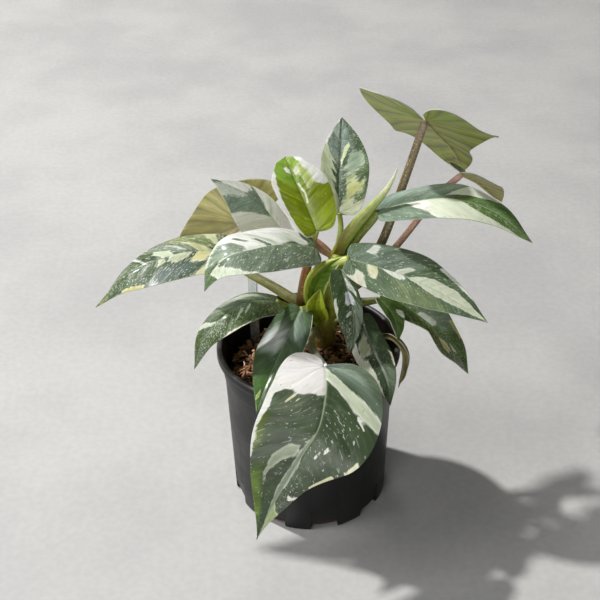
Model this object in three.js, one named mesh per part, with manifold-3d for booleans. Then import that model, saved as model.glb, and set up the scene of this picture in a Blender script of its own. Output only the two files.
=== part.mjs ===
// A potted white-variegated climbing philodendron in a round nursery pot.
// Millimetres, +Z up. The origin is the centre of the flat underside of the pot,
// and -Y is the side that the big hanging leaf falls over.

import * as THREE from "three";
import { mergeVertices } from "three/addons/utils/BufferGeometryUtils.js";
import Module from "manifold-3d";

const wasm = await Module();
wasm.setup();

// Driving dimensions.

const POT_HEIGHT = 148;
const RIM_RADIUS = 75; // outside of the rolled rim
const RIM_WIDTH = 4.6; // flat top of the rim, from outside to inside
const RIM_HEIGHT = 8;
const BODY_TOP_RADIUS = 72.2; // wall just under the rim
const COLLAR_HEIGHT = 17; // the flared top of the wall, above the moulded line
const COLLAR_RADIUS = 69.4;
const BASE_RADIUS = 65;
const WALL = 1.8;
const FLOOR = 3;
const POT_SEGMENTS = 45;
const SLOTS = 9; // drainage openings round the foot
const SLOT_WIDTH = 23;
const SLOT_HEIGHT = 9; // open part, through the wall and the edge of the floor
const RECESS_HEIGHT = 22; // shallow panel above each opening
const RECESS_DEPTH = 0.9;
const FIRST_SLOT_DEGREES = 280;

const SOIL_TOP = 120;
const SOIL_GAP = 0.4; // between the soil and the wall or floor
const CHIPS = 36; // pieces of bark and coco husk standing out of the soil
const CLEARANCE = 0.35; // between any two neighbours

const LEAF_THICKNESS = 0.9;
const MIDRIB_DEPTH = 1.1; // how far the midrib stands out underneath
const SWEEP = 0.24; // how far the side veins lean towards the tip, as a share of the length

const STEM = {
  path: [[13, 28, 96], [14, 28, 130], [17, 27, 165], [22, 27, 196], [26, 28, 214]],
  radius: [9, 10, 10.5, 8.5, 5.5],
};

const STAKE = { foot: [-45, 38, 62], height: 154, width: 8, depth: 4, wall: 1.2 };

// Each leaf. rib: the midrib's points from the petiole to the tip. up and upTip: where the upper
// face looks, at the base and at the tip. right and left, seen from above with the tip ahead:
// [half width, widest place, how far the lobe reaches back, how drawn-out the tip is,
// degrees that the half rises at the base, and at the tip], the middle three as shares, and
// where the margin has bays or bulges, a list of [place, spread, amount] round the outline.
// curl: how much the margin turns down. wave: height and number of ripples along the margin.
// rows: a finer division for a margin with bays. stalk: the petiole's points and its radii from
// the crown to the blade. clear: the other blades that this petiole passes closely.
const LEAVES = {
  front: {
    rib: [[12, -60, 168], [12, -79, 158], [6, -98, 139], [-7, -108, 120], [-30, -119, 80], [-43, -127, 53]],
    up: [0, -0.5, 0.9], upTip: [0, -0.95, 0.3],
    right: [46, 0.34, 0.08, 0.65, 4, 12], left: [45, 0.24, 0.02, 0.95, -6, 8, [[0.74, 0.14, -0.34]]],
    curl: 0.06, wave: [1.5, 2],
    stalk: [[[12, 26, 132], [5, 18, 146], [1, 0, 148], [6, -28, 155], [12, -60, 168]], [4.6, 3.6, 2.6]],
  },
  front_left: {
    rib: [[-6, 4, 178], [-17, -22, 168], [-26, -44, 161], [-34, -64, 153], [-41, -82, 141]],
    up: [0, -0.2, 1],
    right: [19, 0.42, 0.02, 0.4, 8, 8], left: [17, 0.42, 0.02, 0.4, 4, 0],
    curl: 0.08, wave: [0.6, 2],
    stalk: [[[14, 24, 160], [4, 14, 172], [-6, 4, 178]], [2.8, 2.2]],
  },
  left_low: {
    rib: [[-25, 0, 189], [-44, -16, 200], [-64, -30, 197], [-81, -38, 182], [-90, -42, 154]],
    up: [0, -0.4, 0.9],
    right: [10, 0.4, 0.03, 0.3, 0, 0], left: [17, 0.35, 0.03, 0.4, 0, 0],
    curl: 0.06, wave: [0.5, 2],
    stalk: [[[12, 22, 156], [-6, 14, 166], [-15, 9, 177], [-25, 0, 189]], [2.6, 1.8]], clear: ["front_left"],
  },
  left_up: {
    rib: [[6, 14, 230], [-17, 2, 241], [-44, -9, 243], [-62, -15, 240], [-74, -18, 228], [-80, -19, 212]],
    up: [0, -0.1, 1],
    right: [22, 0.5, 0.02, 0.2, 12, 4], left: [25, 0.42, 0.02, 0.4, -15, -10],
    curl: 0.06, wave: [0.8, 2],
    stalk: [[[12, 27, 152], [-4, 23, 166], [-3, 22, 190], [1, 19, 213], [6, 14, 230]], [4.6, 4.2, 3]],
  },
  far_left: {
    rib: [[-65, 18, 225], [-92, 11, 230], [-115, 4, 228], [-143, -4, 218], [-167, -12, 194]],
    up: [0, 0, 1],
    right: [21, 0.36, 0.2, 0.4, 24, -30], left: [24, 0.38, 0.04, 0.4, -20, -20],
    curl: 0.04, wave: [0.8, 2],
    stalk: [[[12, 34, 156], [-8, 30, 168], [-30, 26, 187], [-53, 21, 207], [-65, 18, 225]], [5.2, 4, 2.8]],
  },
  up_left: {
    rib: [[-9, 48, 220], [-21, 53, 226], [-36, 55, 246], [-54, 53, 262], [-75, 48, 274]],
    up: [0.4, -0.8, 0.45],
    right: [10, 0.3, 0.06, 0.2, 8, 8], left: [28, 0.4, 0.06, 0.3, 0, 0],
    curl: 0.04, wave: [0.6, 2],
    stalk: [[[20, 31, 188], [20, 38, 205], [12, 42, 215], [0, 46, 221], [-9, 48, 220]], [3, 2.2]],
  },
  rear_left: {
    rib: [[-55, 75, 217], [-72, 72, 211], [-93, 66, 203], [-116, 58, 191]],
    up: [-0.4, 0.85, 0.35],
    right: [26, 0.3, 0.2, 0.3, 24, 20], left: [42, 0.05, 0.62, 0.6, 20, 14],
    curl: 0, wave: [0.8, 2],
    stalk: [[[18, 36, 176], [6, 52, 196], [-20, 70, 208], [-46, 79, 212], [-55, 75, 217]], [3.6, 2.4]],
  },
  young: {
    rib: [[8, 26, 238], [1, 34, 254], [-7, 42, 271], [-13, 50, 283], [-16, 57, 288]],
    up: [0, -0.8, 0.6],
    right: [24, 0.5, 0.04, 0, 10, 10], left: [19, 0.7, 0.04, 0, 12, 12],
    curl: 0.12, wave: [0.5, 2],
    stalk: [[[24, 30, 194], [22, 34, 207], [11, 33, 216], [6, 31, 225], [8, 26, 238]], [3, 2.2]],
  },
  top: {
    rib: [[27, 56, 237], [27, 72, 254], [29, 90, 272], [31, 110, 296]],
    up: [-0.1, -0.85, 0.5],
    right: [25, 0.42, 0.04, 0, 10, 10], left: [16, 0.55, 0.03, 0.1, 14, 14],
    curl: 0.06, wave: [0.8, 2.5],
    stalk: [[[24, 32, 190], [23, 40, 203], [26, 44, 215], [28, 50, 226], [27, 56, 237]], [3.2, 2]],
  },
  right_up: {
    rib: [[57, 32, 251], [78, 32, 258], [112, 26, 265], [146, 14, 259], [174, -2, 240]],
    up: [0, 0, 1],
    right: [22, 0.46, 0.01, 0.4, -8, -8], left: [26, 0.4, 0.04, 0.4, 0, 0],
    curl: 0.06, wave: [0.8, 2],
    stalk: [[[25, 31, 190], [31, 36, 206], [40, 36, 224], [51, 33, 241], [57, 32, 251]], [4.4, 3.8, 3.2]],
  },
  right: {
    rib: [[33, 4, 225], [54, -2, 221], [80, -10, 215], [110, -20, 203], [139, -32, 187]],
    up: [0, -0.3, 0.95],
    right: [23, 0.36, 0.02, 0.35, -4, -4], left: [27, 0.4, 0.03, 0.35, 0, 0],
    curl: 0.06, wave: [0.8, 2],
    stalk: [[[12, 27, 158], [3, 20, 174], [3, 16, 196], [12, 10, 214], [33, 4, 225]], [6, 5, 3]],
  },
  right_low: {
    rib: [[68, 25, 175], [88, 20, 162], [109, 14, 145], [124, 8, 128], [133, 2, 111]],
    up: [0.6, -0.2, 0.75],
    right: [28, 0.45, 0.03, 0.2, 8, 8, [[0.42, 0.1, -0.6]]], left: [28, 0.4, 0.03, 0.3, 8, 8],
    curl: 0.06, wave: [0.8, 2],
    stalk: [[[16, 29, 150], [27, 26, 162], [44, 24, 168], [60, 24, 172], [68, 25, 175]], [2.8, 2]],
  },
  under_right: {
    rib: [[57, 4, 187], [65, -4, 181], [70, -10, 172], [72, -15, 158]],
    up: [0.5, -0.5, 0.7],
    right: [7, 0.4, 0.03, 0.2, 12, 12], left: [10, 0.4, 0.03, 0.2, 12, 12],
    curl: 0, wave: [0.3, 2],
    stalk: [[[20, 25, 166], [30, 15, 180], [44, 7, 184], [57, 4, 187]], [2.2, 1.6]],
  },
  centre: {
    rib: [[27, -1, 217], [30, -13, 211], [34, -24, 199], [35, -32, 182], [31, -38, 164]],
    up: [0, -0.6, 0.8],
    right: [14, 0.42, 0.03, 0.35, 12, 12], left: [8, 0.42, 0.03, 0.35, 12, 12],
    curl: 0.06, wave: [0.4, 2],
    stalk: [[[23, 22, 184], [26, 10, 204], [27, -1, 217]], [2.4, 1.8]],
  },
  front_right: {
    rib: [[42, -5, 175], [47, -22, 165], [55, -42, 156], [60, -58, 150], [62, -72, 138]],
    up: [0, -0.5, 0.85],
    right: [16, 0.42, 0.03, 0.3, 6, 6], left: [13, 0.42, 0.03, 0.3, 6, 6],
    curl: 0.06, wave: [0.5, 2],
    stalk: [[[18, 22, 152], [30, 8, 166], [42, -5, 175]], [2.6, 1.8]],
  },
  thin_right: {
    rib: [[61, -2, 154], [69, -8, 155], [77, -14, 146], [77, -18, 131], [73, -20, 115]],
    up: [0.6, 0, 0.8], upTip: [1, 0, 0.2],
    right: [4.5, 0.45, 0.02, 0.3, 50, 50], left: [4.5, 0.45, 0.02, 0.3, 50, 50],
    curl: 0, wave: [0, 2],
    stalk: [[[18, 24, 144], [40, 12, 150], [61, -2, 154]], [1.8, 1.3]],
  },
  top_right: {
    rib: [[95, 70, 311], [111, 100, 283], [127, 126, 256], [140, 150, 222]],
    up: [0.35, 0.68, 0.55],
    right: [50, 0.3, 0.26, 0.5, 6, 4, [[0.34, 0.05, -0.07], [0.45, 0.05, 0.06], [0.7, 0.17, -0.55]]],
    left: [65, 0.28, 0.36, 0.3, 11, 4, [[0.4, 0.05, 0.05], [0.54, 0.09, -0.18]]],
    curl: 0, wave: [4, 2.5], rows: 16,
    stalk: [[[24, 33, 176], [44, 42, 187], [62, 53, 210], [80, 66, 260], [95, 70, 311]], [4.2, 3.6, 3.2]],
  },
  rear_right: {
    rib: [[126, 62, 267], [142, 84, 248], [158, 104, 226], [171, 120, 208]],
    up: [0.5, 0.5, 0.7],
    right: [19, 0.35, 0.12, 0.3, 15, 10], left: [22, 0.35, 0.04, 0.3, 15, 10],
    curl: 0, wave: [0.8, 2],
    stalk: [[[26, 31, 170], [52, 38, 187], [78, 48, 215], [106, 60, 248], [126, 62, 267]], [3.2, 2.8, 2.6]],
  },
};

// The broad sheaths that clasp the crown, shaped like small stiff blades.
const SHEATHS = {
  sheath_right: {
    rib: [[4, 10, 181], [7, 5, 201], [15, 4, 214], [29, 6, 226]],
    up: [0.1, -0.85, 0.5],
    right: [9, 0.4, 0.02, 0.3, 25, 25], left: [9, 0.4, 0.02, 0.3, 25, 25],
    curl: 0, wave: [0, 2],
  },
  sheath_crown: {
    rib: [[11, 12, 160], [6, 5, 179], [10, 3, 198]],
    up: [0.1, -0.85, 0.5],
    right: [9, 0.5, 0.02, 0.1, 25, 25], left: [9, 0.5, 0.02, 0.1, 25, 25],
    curl: 0, wave: [0, 2],
  },
};

// The rolled new leaf beside the right-hand petioles.
const SPEAR = {
  path: [[23, 29, 196], [24, 33, 210], [31, 32, 227], [41, 32, 242], [52, 33, 255], [61, 34, 266],
    [67, 35, 276], [71, 36, 287]],
  radius: [4, 5.6, 5.6, 5, 3.6, 2.2, 0.5],
};

// Solids and shapes.

const vec = (p) => new THREE.Vector3(...p);
const lerp = (a, b, t) => a + (b - a) * t;

function solid(geometry) {
  const g = geometry.clone();
  for (const name of Object.keys(g.attributes)) if (name !== "position") g.deleteAttribute(name);
  const merged = mergeVertices(g, 1e-4);
  return new wasm.Manifold(new wasm.Mesh({
    numProp: 3,
    vertProperties: new Float32Array(merged.attributes.position.array),
    triVerts: new Uint32Array(merged.index.array),
  }));
}

function geometryOf(manifold) {
  const mesh = manifold.getMesh();
  const g = new THREE.BufferGeometry();
  g.setAttribute("position", new THREE.BufferAttribute(new Float32Array(mesh.vertProperties), 3));
  g.setIndex(new THREE.BufferAttribute(new Uint32Array(mesh.triVerts), 1));
  g.computeVertexNormals();
  return g;
}

// The biggest of the bodies that a cut leaves.
function largest(manifold) {
  return manifold.decompose().sort((a, b) => b.volume() - a.volume())[0];
}

// A smooth line through points, with its length measured in small steps.
function curveThrough(points) {
  const p = points.map(vec);
  const n = p.length - 1;
  const at = (i) => i < 0 ? p[0].clone().multiplyScalar(2).sub(p[1])
    : i > n ? p[n].clone().multiplyScalar(2).sub(p[n - 1]) : p[i];
  const point = (t) => {
    const x = Math.min(Math.max(t, 0), 1) * n;
    const i = Math.min(Math.floor(x), n - 1);
    const f = x - i;
    const [a, b, c, d] = [at(i - 1), at(i), at(i + 1), at(i + 2)];
    const out = new THREE.Vector3();
    for (const k of ["x", "y", "z"])
      out[k] = 0.5 * (2 * b[k] + (c[k] - a[k]) * f + (2 * a[k] - 5 * b[k] + 4 * c[k] - d[k]) * f * f
        + (3 * b[k] - a[k] - 3 * c[k] + d[k]) * f * f * f);
    return out;
  };
  const steps = 96;
  const run = [0];
  let last = point(0);
  for (let i = 1; i <= steps; i++) {
    const q = point(i / steps);
    run.push(run[i - 1] + q.distanceTo(last));
    last = q;
  }
  const length = run[steps];
  const param = (s) => {
    const want = s * length;
    let i = 1;
    while (i < steps && run[i] < want) i++;
    return (i - 1 + (want - run[i - 1]) / (run[i] - run[i - 1])) / steps;
  };
  const tangent = (s) => {
    const a = Math.min(Math.max(s - 0.06, 0), 0.88);
    return point(param(a + 0.12)).sub(point(param(a))).normalize();
  };
  const place = (s) => s < 0
    ? point(0).addScaledVector(tangent(0), s * length)
    : point(param(Math.min(s, 1)));
  return { length, place, tangent };
}

// The outline of half a leaf: how far along and how far out, both as shares, for u from the
// back of the lobe (0) round the widest place to the tip (1).
const ROUND_UNTIL = 0.42; // the lobe and the shoulder are arcs up to here
const LOBE_WIDTH = 0.42; // share of the half width at the back of the lobe

function plainOutline(u, [, widest, lobe, tip]) {
  if (u <= ROUND_UNTIL) {
    const turn = THREE.MathUtils.degToRad(lerp(-60, 90, u / ROUND_UNTIL));
    return turn < 0
      ? [-lobe * Math.cos(turn), LOBE_WIDTH * (1 + Math.sin(turn))]
      : [widest - (widest + lobe) * Math.cos(turn), LOBE_WIDTH + (1 - LOBE_WIDTH) * Math.sin(turn)];
  }
  const t = (u - ROUND_UNTIL) / (1 - ROUND_UNTIL);
  return [widest + (1 - widest) * t, (1 - t * t) * (1 - tip * t * t)];
}

function outline(u, half) {
  const [a, b] = plainOutline(u, half);
  return [a, (half[6] ?? []).reduce((w, [at, spread, amount]) =>
    w * (1 + amount * Math.exp(-(((u - at) / spread) ** 2))), b)];
}

// Where along the midrib the side veins to that place of the outline start, the same for both halves.
const veinRoot = (u, leaf) => [leaf.right, leaf.left].reduce((sum, half) => {
  const [a, b] = outline(u, half);
  return sum + Math.max(0, a - SWEEP * b) / 2;
}, 0);

// A point of the blade's middle surface: side is 1 for the right half and -1 for the left.
function bladePoint(leaf, curve, side, u, v) {
  const half = side > 0 ? leaf.right : leaf.left;
  const [a, b] = outline(u, half);
  const along = lerp(veinRoot(u, leaf), a, Math.pow(v, 1.2));
  const width = half[0];
  const out = b * v * width;
  const s = Math.min(Math.max(along, 0), 1);
  const T = curve.tangent(s);
  const up = vec(leaf.up).lerp(vec(leaf.upTip ?? leaf.up), s);
  const N = up.addScaledVector(T, -up.dot(T)).normalize();
  const S = T.clone().cross(N).multiplyScalar(side);
  const fold = THREE.MathUtils.degToRad(lerp(half[4], half[5], s));
  const ripple = leaf.wave[0] * Math.sin(2 * Math.PI * leaf.wave[1] * u + (side > 0 ? 0 : 1.9))
    * v * v * b;
  const rise = out * Math.sin(fold) - leaf.curl * width * Math.pow(b * v, 2) + ripple;
  return curve.place(along).addScaledVector(S, out * Math.cos(fold)).addScaledVector(N, rise);
}

// A whole blade: both halves share the midrib, and the faces above and below have the same triangles.
function blade(leaf, rows, columns, grow = 0) {
  const curve = curveThrough(leaf.rib);
  const points = [];
  const ids = { "1": [], "-1": [] };
  const ribShare = [];
  const add = (p, share) => { points.push(p); ribShare.push(share); return points.length - 1; };
  const base = add(curve.place(0), 1);
  const tip = add(curve.place(1), 0);
  const rib = [];
  for (let i = 0; i < rows; i++) {
    const s = veinRoot(i / rows, leaf);
    rib.push(s <= 0 ? base : add(curve.place(s), 1 - s));
  }
  for (const side of [1, -1])
    for (let i = 0; i <= rows; i++) {
      const u = i / rows;
      ids[side][i] = columns.map((v, j) => {
        if (i === rows) return tip;
        if (j === 0) return rib[i];
        return add(bladePoint(leaf, curve, side, u, v), 0);
      });
    }
  const faces = [];
  for (const side of [1, -1])
    for (let i = 0; i < rows; i++)
      for (let j = 0; j < columns.length - 1; j++) {
        const a = ids[side][i][j], b = ids[side][i][j + 1];
        const c = ids[side][i + 1][j + 1], d = ids[side][i + 1][j];
        for (const [p, q, r] of [[a, b, c], [a, c, d]])
          if (p !== q && q !== r && r !== p) faces.push(side > 0 ? [p, q, r] : [p, r, q]);
      }
  const normals = points.map(() => new THREE.Vector3());
  for (const [p, q, r] of faces) {
    const n = points[q].clone().sub(points[p]).cross(points[r].clone().sub(points[p]));
    for (const k of [p, q, r]) normals[k].add(n);
  }
  normals.forEach((n) => n.normalize());
  const last = columns.length - 1;
  const edges = [1, -1].map((side) => {
    const edge = [base];
    for (let j = 1; j <= last; j++) edge.push(ids[side][0][j]);
    for (let i = 1; i <= rows; i++) edge.push(ids[side][i][last]);
    return edge;
  });
  if (grow > 0) {
    const outward = edges.map((edge, e) => edge.slice(1, -1).map((k, i) =>
      points[edge[i + 2]].clone().sub(points[edge[i]]).cross(normals[k]).normalize()
        .multiplyScalar(e === 0 ? grow : -grow)));
    edges.forEach((edge, e) => edge.slice(1, -1).forEach((k, i) => points[k].add(outward[e][i])));
    points[base].addScaledVector(curve.tangent(0), -grow);
    points[tip].addScaledVector(curve.tangent(1), grow);
  }
  const count = points.length;
  const half = LEAF_THICKNESS / 2 + grow;
  const position = [];
  points.forEach((p, k) => position.push(...p.clone().addScaledVector(normals[k], half).toArray()));
  points.forEach((p, k) => position.push(
    ...p.clone().addScaledVector(normals[k], -half - MIDRIB_DEPTH * ribShare[k]).toArray()));
  const index = [];
  for (const [p, q, r] of faces) index.push(p, q, r, p + count, r + count, q + count);
  edges.forEach((edge, e) => {
    for (let k = 0; k + 1 < edge.length; k++) {
      const [p, q] = e === 0 ? [edge[k], edge[k + 1]] : [edge[k + 1], edge[k]];
      index.push(p, p + count, q + count, p, q + count, q);
    }
  });
  const g = new THREE.BufferGeometry();
  g.setAttribute("position", new THREE.BufferAttribute(new Float32Array(position), 3));
  g.setIndex(index);
  g.computeVertexNormals();
  return g;
}

// A round stalk along a line, with its own radius at each place and closed ends.
function stalk(points, radii, sides, steps, grow = 0) {
  const curve = curveThrough(points);
  const position = [];
  const index = [];
  let across = new THREE.Vector3(1, 0, 0);
  if (Math.abs(curve.tangent(0).x) > 0.9) across.set(0, 1, 0);
  for (let i = 0; i <= steps; i++) {
    const s = i / steps;
    const T = curve.tangent(s);
    across = across.addScaledVector(T, -across.dot(T)).normalize().clone();
    const other = T.clone().cross(across);
    const x = s * (radii.length - 1);
    const k = Math.min(Math.floor(x), radii.length - 2);
    const r = lerp(radii[k], radii[k + 1], x - k) + grow;
    const centre = curve.place(s);
    for (let j = 0; j < sides; j++) {
      const angle = 2 * Math.PI * j / sides;
      const p = centre.clone().addScaledVector(across, r * Math.cos(angle))
        .addScaledVector(other, r * Math.sin(angle));
      position.push(...p.toArray());
    }
  }
  for (let i = 0; i < steps; i++)
    for (let j = 0; j < sides; j++) {
      const a = i * sides + j, b = i * sides + (j + 1) % sides;
      index.push(a, b, b + sides, a, b + sides, a + sides);
    }
  const top = steps * sides;
  for (let j = 1; j + 1 < sides; j++) {
    index.push(0, j + 1, j);
    index.push(top, top + j, top + j + 1);
  }
  const g = new THREE.BufferGeometry();
  g.setAttribute("position", new THREE.BufferAttribute(new Float32Array(position), 3));
  g.setIndex(index);
  g.computeVertexNormals();
  return g;
}

function box(width, depth, height, x, y, z, turn = [0, 0, 0]) {
  const g = new THREE.BoxGeometry(width, depth, height);
  g.rotateX(turn[0]).rotateY(turn[1]).rotateZ(turn[2]).translate(x, y, z);
  return solid(g);
}

function lathe(profile, segments) {
  const g = new THREE.LatheGeometry(profile.map(([r, z]) => new THREE.Vector2(r, z)), segments);
  g.rotateX(Math.PI / 2);
  const made = solid(g);
  if (made.volume() > 0) return made;
  g.setIndex([...g.index.array].reverse());
  return solid(g);
}

// Repeats that look scattered but are the same each time.
function scatter(seed) {
  let state = seed;
  return () => {
    state = (Math.imul(state, 1664525) + 1013904223) >>> 0;
    return state / 4294967296;
  };
}

const COLLAR_Z = POT_HEIGHT - RIM_HEIGHT - COLLAR_HEIGHT;
const wallRadius = (z) => z < COLLAR_Z ? lerp(BASE_RADIUS, COLLAR_RADIUS, z / COLLAR_Z)
  : lerp(COLLAR_RADIUS, BODY_TOP_RADIUS, (z - COLLAR_Z) / COLLAR_HEIGHT);

function pot() {
  const lipInside = RIM_RADIUS - RIM_WIDTH;
  const under = POT_HEIGHT - RIM_HEIGHT;
  const profile = [
    [0, 0], [BASE_RADIUS - 2, 0], [BASE_RADIUS, 2.2],
    [COLLAR_RADIUS, COLLAR_Z], [COLLAR_RADIUS + 0.6, COLLAR_Z + 0.8], [BODY_TOP_RADIUS, under],
    [RIM_RADIUS - 0.4, under + 0.8], [RIM_RADIUS, under + 2.6], [RIM_RADIUS, POT_HEIGHT - 2],
    [RIM_RADIUS - 1.6, POT_HEIGHT], [lipInside + 0.8, POT_HEIGHT], [lipInside, POT_HEIGHT - 1.2],
    [wallRadius(under) - WALL, under], [COLLAR_RADIUS - WALL, COLLAR_Z],
    [wallRadius(FLOOR) - WALL, FLOOR], [0, FLOOR],
  ];
  let made = lathe(profile, POT_SEGMENTS);
  for (let i = 0; i < SLOTS; i++) {
    const angle = THREE.MathUtils.degToRad(FIRST_SLOT_DEGREES + 360 * i / SLOTS);
    const at = (reach) => [reach * Math.cos(angle), reach * Math.sin(angle)];
    const turn = [0, 0, angle];
    const [hx, hy] = at(BASE_RADIUS);
    made = made.subtract(box(14, SLOT_WIDTH, SLOT_HEIGHT + 2, hx, hy, SLOT_HEIGHT / 2 - 1, turn));
    const [rx, ry] = at(BASE_RADIUS + 5 - RECESS_DEPTH);
    made = made.subtract(box(10, SLOT_WIDTH, RECESS_HEIGHT + 2, rx, ry, RECESS_HEIGHT / 2 - 1, turn));
  }
  return largest(made);
}

function soil(holes) {
  const inside = (z) => wallRadius(z) - WALL - SOIL_GAP;
  const z0 = FLOOR + SOIL_GAP;
  let made = lathe([
    [0, z0], [inside(z0), z0], [inside(SOIL_TOP) - 0.2, SOIL_TOP - 2], [inside(SOIL_TOP) - 7, SOIL_TOP],
    [30, SOIL_TOP + 1.5], [0, SOIL_TOP + 2],
  ], 32);
  const next = scatter(20711);
  for (let i = 0; i < CHIPS; i++) {
    const angle = 2.39996 * i + 0.5 * next();
    const reach = (inside(SOIL_TOP) - 9) * Math.sqrt((i + 0.5) / CHIPS);
    const long = 7 + 9 * next(), wide = 3 + 4 * next(), high = 5 + 3 * next();
    made = made.add(box(long, wide, high, reach * Math.cos(angle), reach * Math.sin(angle),
      SOIL_TOP - 0.4 + 1.6 * next(), [0.5 * (next() - 0.5), 0.5 * (next() - 0.5), Math.PI * next()]));
  }
  for (const hole of holes) made = made.subtract(hole);
  return largest(made);
}

// A clear plastic support with an angle section, its foot standing in the soil.
function stakeSolid(grow = 0) {
  const [x, y, z] = STAKE.foot;
  const w = STAKE.width / 2 + grow, d = STAKE.depth + grow, t = STAKE.wall + grow;
  const shape = new THREE.Shape([
    [-w, -grow], [w, -grow], [w, d], [w - t - grow, d], [w - t - grow, t], [-w, t],
  ].map(([a, b]) => new THREE.Vector2(a, b)));
  const g = new THREE.ExtrudeGeometry(shape, { depth: STAKE.height, bevelEnabled: false, steps: 1 });
  g.translate(x, y, z - grow);
  return solid(g);
}

// The plant, from the stem outwards.

const root = new THREE.Group();
function place(name, manifold, color, roughness, metalness = 0, opacity = 1) {
  const material = new THREE.MeshStandardMaterial({ color, roughness, metalness });
  if (opacity < 1) { material.transparent = true; material.opacity = opacity; }
  const mesh = new THREE.Mesh(geometryOf(manifold), material);
  mesh.name = name;
  root.add(mesh);
}

// Where the blades are divided from the midrib (0) to the margin (1), and from lobe to tip.
const COLUMNS = [0, 0.1, 0.4, 0.72, 1];
const SMALL_COLUMNS = [0, 0.14, 0.55, 1];
const LONG_ROWS = 12, SHORT_ROWS = 9, SHEATH_ROWS = 8;
const STALK_STEPS = 6;

const blades = {};
for (const [name, leaf] of Object.entries(LEAVES)) {
  const across = leaf.left[0] + leaf.right[0];
  const grid = [leaf.rows ?? (across > 36 ? LONG_ROWS : SHORT_ROWS), across > 80 ? COLUMNS : SMALL_COLUMNS];
  blades[name] = {
    made: solid(blade(leaf, ...grid)),
    wide: solid(blade(leaf, ...grid, CLEARANCE)),
    leaf,
  };
}

const stem = solid(stalk(STEM.path, STEM.radius, 12, 10));
const stemWide = solid(stalk(STEM.path, STEM.radius, 12, 10, CLEARANCE));
place("pot", pot(), 0x1b1b1d, 0.42);
place("soil", soil([stemWide, stakeSolid(CLEARANCE)]), 0x4a3222, 0.95);
place("support_stake", stakeSolid(), 0xc9d2d4, 0.2, 0, 0.55);
place("stem", stem, 0x6f7a2c, 0.5);

// What stands later in the crown is cut back from what stands there already.
const taken = [stemWide];
function addStalk(name, points, radii, sides, steps, color, avoid = []) {
  let made = solid(stalk(points, radii, sides, steps));
  for (const other of [...taken, ...avoid]) made = made.subtract(other);
  place(name, largest(made), color, 0.5);
  taken.push(solid(stalk(points, radii, sides, steps, CLEARANCE)));
}

for (const [name, sheath] of Object.entries(SHEATHS)) {
  let made = solid(blade(sheath, SHEATH_ROWS, SMALL_COLUMNS));
  for (const other of [...taken, ...Object.values(blades).map((b) => b.wide)]) made = made.subtract(other);
  place(name, largest(made), 0x8f9c2e, 0.45);
  taken.push(solid(blade(sheath, SHEATH_ROWS, SMALL_COLUMNS, CLEARANCE)));
}
addStalk("new_leaf_spear", SPEAR.path, SPEAR.radius, 8, 10, 0xa7b84a);
for (const [name, { made, wide, leaf }] of Object.entries(blades)) {
  place("leaf_" + name, made, 0x50694a, 0.35);
  const [points, radii] = leaf.stalk;
  const sides = radii[0] > 3.4 ? 7 : 6;
  addStalk("petiole_" + name, points, radii, sides, STALK_STEPS, 0x7c8440,
    [wide, ...(leaf.clear ?? []).map((other) => blades[other].wide)]);
}

export default root;
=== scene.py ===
# %% [markdown]
# A potted climbing philodendron with large white-variegated leaves.
# The plant was packed as plain solids: a pot, its soil, a clear stake, a stem, and a blade and a stalk for
# each leaf. This lesson dresses those solids. Each leaf becomes a thin sheet with a grooved midrib, raised
# panels between its veins and white sectors painted on it in its own coordinates.
# We begin by loading the solids, because every piece below stands for one of them.

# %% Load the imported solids
import math
from collections import namedtuple
import bpy
import numpy as np
from mathutils import Matrix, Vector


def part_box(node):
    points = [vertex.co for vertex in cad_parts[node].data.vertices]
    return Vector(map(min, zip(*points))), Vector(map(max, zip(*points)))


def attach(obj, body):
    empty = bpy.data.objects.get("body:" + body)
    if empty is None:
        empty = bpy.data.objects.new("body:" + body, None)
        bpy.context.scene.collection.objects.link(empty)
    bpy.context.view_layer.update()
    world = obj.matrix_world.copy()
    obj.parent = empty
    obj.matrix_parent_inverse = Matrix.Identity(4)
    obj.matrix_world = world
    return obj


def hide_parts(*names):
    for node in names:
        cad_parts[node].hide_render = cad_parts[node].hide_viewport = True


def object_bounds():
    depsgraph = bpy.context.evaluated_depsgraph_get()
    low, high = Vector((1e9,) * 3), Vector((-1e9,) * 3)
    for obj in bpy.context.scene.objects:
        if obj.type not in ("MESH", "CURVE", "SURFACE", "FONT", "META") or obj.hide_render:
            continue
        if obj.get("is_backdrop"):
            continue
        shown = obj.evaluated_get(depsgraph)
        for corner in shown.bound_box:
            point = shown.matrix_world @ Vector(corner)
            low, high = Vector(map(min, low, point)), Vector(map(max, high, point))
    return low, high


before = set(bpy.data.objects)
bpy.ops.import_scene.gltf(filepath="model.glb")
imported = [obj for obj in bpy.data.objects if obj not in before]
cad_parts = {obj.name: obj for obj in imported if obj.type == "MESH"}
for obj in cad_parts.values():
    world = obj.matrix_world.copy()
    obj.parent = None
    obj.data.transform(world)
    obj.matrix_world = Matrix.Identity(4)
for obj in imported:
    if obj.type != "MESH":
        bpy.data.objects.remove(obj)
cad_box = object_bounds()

MM = 0.001
print("solids:", len(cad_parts), "lowest and highest corner:", cad_box)

# %% [markdown]
# The camera comes first, because everything is judged through it. The photograph looks down on the pot by
# 34 degrees with a longish lens. A camera looks along its own -Z, so its matrix is built from three
# directions: right, up, and backwards.

# %% A clean selection, and a thing that stands where we say
def deselect():
    if bpy.context.object and bpy.context.object.mode != "OBJECT":
        bpy.ops.object.mode_set(mode="OBJECT")
    bpy.ops.object.select_all(action="DESELECT")


def stand_at(x_axis, y_axis, z_axis, place):
    """The matrix of something at a place, turned so that its own axes look those ways."""
    rows = [[x_axis[i], y_axis[i], z_axis[i], place[i]] for i in range(3)]
    return Matrix(rows + [[0, 0, 0, 1]])


print("an upright thing:", stand_at((1, 0, 0), (0, 1, 0), (0, 0, 1), (0, 0, 0)))

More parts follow.
